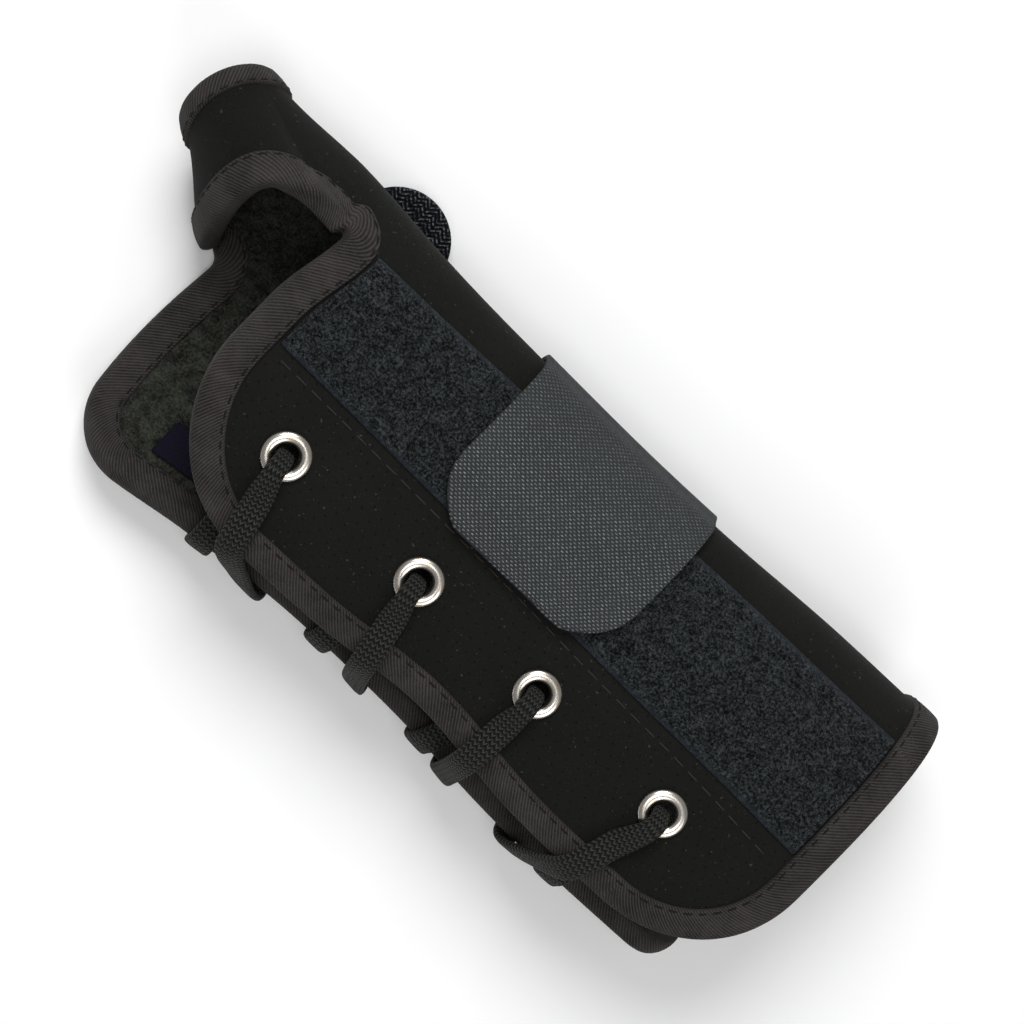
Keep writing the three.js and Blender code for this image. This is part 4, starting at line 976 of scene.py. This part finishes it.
def ribbon(name, stations):
    """Flat lace: a soft-edged section swept along the stations, facing the way each of them says."""
    points = np.array([s[0] for s in stations])
    samples = 340
    t = np.linspace(0, 1, samples)
    centre = catmull(points, t)
    tangent = unit(np.gradient(centre, axis=0))
    place = t * (len(stations) - 1)
    k = np.minimum(place.astype(int), len(stations) - 2)
    facings = [np.asarray(stations[0][1], float)]
    for s in stations[1:]:
        f = np.asarray(s[1], float)
        facings.append(f if f @ facings[-1] >= 0 else -f)
    facings = np.array(facings)
    facing = square_to(lerp(facings[k], facings[k + 1], (place - k)[:, None]), tangent)
    for i in range(1, samples):
        if facing[i] @ facing[i - 1] < 0:
            facing[i] *= -1
    facing = square_to(unit(smoothed(facing, False, 6)), tangent)
    side = np.cross(tangent, facing)
    widths = np.array([s[2] for s in stations])
    w = lerp(widths[k], widths[k + 1], smooth(place - k)) / 2
    sides = 20
    a = np.arange(sides) / sides * TAU
    u, v = power(np.cos(a), 0.55), power(np.sin(a), 0.7)
    half = LACE_THICKNESS / 2 * (1 + 0.12 * (LACE_WIDTH / 2 / w - 1))
    ring = (centre[:, None] + side[:, None] * (w[:, None] * u)[..., None]
            + facing[:, None] * (half[:, None] * v)[..., None])
    cloth = np.broadcast_arrays(running_length(centre)[:, None], (u * LACE_WIDTH / 2)[None, :])
    faces = grid_faces(samples, sides, close_columns=True)
    make(name, ring.reshape(-1, 3), faces, [BRAID], np.stack(cloth, -1).reshape(-1, 2), node=name)


# Heights of a lace's middle over the sleeve and over its edge tape
OVER_SLEEVE = GAP + LACE_THICKNESS / 2 + 0.1
OVER_TAPE = 2 * GAP + TAPE_THICKNESS + LACE_THICKNESS / 2 + 0.15


def lace_loop(k, row, spot, up):
    """Tab, rear face, over the rear edge, under the flap, up the eyelet, over the flap, back to the tab."""
    at = lambda name: row[name] * LENGTH
    low = TAB_ACROSS * WIDTH - TAB_WIDTH / 2

    def on(x, angle, height, width=LACE_WIDTH):
        point, normal = above(x, angle, height)
        return point, normal, width

    def tab_end(tab, edge):
        point = np.array([lerp(at(tab), at(edge), 0.1), low - GAP, GAP + LACE_THICKNESS / 2 + 0.35])
        return point, (0, 0, 1), LACE_WIDTH * 0.8

    def on_rear(tab, edge, share):
        x = lerp(at(tab), at(edge), 0.15 + 0.75 * share)
        return on(x, angle_at(x, lerp(low - GAP, -0.4 * WIDTH, share), -1), OVER_SLEEVE)

    aside = unit(np.array([0.0, 1.0, 0.0]) - up * up[1])
    hole = lambda height, width, shift, facing=None: (
        spot + up * height + aside * shift, aside if facing is None else facing, width)
    under, over, flap = at("under"), at("over"), at("flap")
    rim, _ = above(under, REAR_ANGLE, -WALL / 2)
    rim_up = unit(np.cross(sleeve_normal(under, REAR_ANGLE), (1.0, 0.0, 0.0)))
    rim_up = rim_up if rim_up[2] >= 0 else -rim_up
    inner = rim + rim_up * (OVER_TAPE + 1.1)
    below = spot - up * (WALL + 3.6) - aside * 4.5
    half = (inner + below) / 2 + (0, 0, -1.2)

    def on_flap(share, height):
        x = lerp(spot[0], flap, share)
        return on(x, lerp(angle_at(x, spot[1]), FLAP_ANGLE, share), height)

    flap_rim = on_flap(1, OVER_TAPE)
    rear_top = on(over, REAR_ANGLE + 2, OVER_TAPE + 0.6)
    between = ((flap_rim[0] + rear_top[0]) / 2 + (0, -1.2, 0), unit(flap_rim[1] + rear_top[1]), LACE_WIDTH)
    ribbon(f"lace_loop_{k}", [
        tab_end("tab_in", "under"), on_rear("tab_in", "under", 0.3), on_rear("tab_in", "under", 0.75),
        on(lerp(at("tab_in"), under, 0.97), REAR_ANGLE + 15, OVER_TAPE + 0.3),
        on(under, REAR_ANGLE + 4, OVER_TAPE + 0.5), (inner, rim_up, LACE_WIDTH),
        (half, unit(np.array([0, 0.5, -1])), LACE_WIDTH), (below, up, LACE_WIDTH * 0.9),
        hole(-WALL - 1, LACE_NARROW, -0.6), hole(0.6, LACE_NARROW, -0.7),
        hole(GAP + EYELET_FLANGE + LACE_THICKNESS / 2 + 0.9, LACE_NARROW * 1.1, -3.4, up),
        on_flap(0.45, OVER_SLEEVE + 0.2), on_flap(0.72, OVER_TAPE), flap_rim, between, rear_top,
        on(lerp(at("tab_out"), over, 0.97), REAR_ANGLE + 15, OVER_TAPE + 0.3),
        on_rear("tab_out", "over", 0.75), on_rear("tab_out", "over", 0.3), tab_end("tab_out", "over"),
    ])


sleeve()
tape("hand_opening_binding", HAND_RIM, False, TAPE_WIDTH)
tape("panel_edge_binding", PANEL_RIM, False, TAPE_WIDTH)
tape("thumb_tip_binding", THUMB[-1], True, TIP_TAPE_WIDTH)
pile_strip()
flap_seam()
wrist_strap()
lace_tab()
thumb_strap()
lining_patch()
eyelets()
for number, (lace, (place, direction)) in enumerate(zip(LACES, EYELETS), 1):
    lace_loop(number, lace, place, direction)


# Floor and studio light

def floor():
    """White sheet just under the splint."""
    mesh = bpy.data.meshes.new("floor")
    reach, level = 3, -0.0002
    corners = [(x * reach, y * reach, level) for x, y in ((-1, -1), (1, -1), (1, 1), (-1, 1))]
    mesh.from_pydata(corners, [], [(0, 1, 2, 3)])
    shade = Shade("floor", roughness=0.9, specular_ior_level=0.1)
    mesh.materials.append(shade.done((0.96, 0.96, 0.96)))
    obj = bpy.data.objects.new("floor", mesh)
    bpy.context.scene.collection.objects.link(obj)


def area_light(name, place, size, power_w):
    """Round lamp that looks at the splint."""
    data = bpy.data.lights.new(name, "AREA")
    data.shape, data.size, data.energy = "DISK", size, power_w
    obj = bpy.data.objects.new(name, data)
    obj.location = place
    obj.rotation_mode = "QUATERNION"
    obj.rotation_quaternion = (Vector((0, 0, 0.02)) - Vector(place)).to_track_quat("-Z", "Y")
    bpy.context.scene.collection.objects.link(obj)


floor()
area_light("key", (-0.5, 0.55, 0.9), 0.6, 9)
area_light("fill", (0.8, -0.5, 0.9), 0.9, 4.5)
area_light("top", (-0.1, -0.1, 1.3), 0.6, 4)
world = bpy.data.worlds.new("studio")
world.use_nodes = True
world.node_tree.nodes["Background"].inputs[0].default_value = (1, 1, 1, 1)
world.node_tree.nodes["Background"].inputs[1].default_value = 0.25
bpy.context.scene.world = world
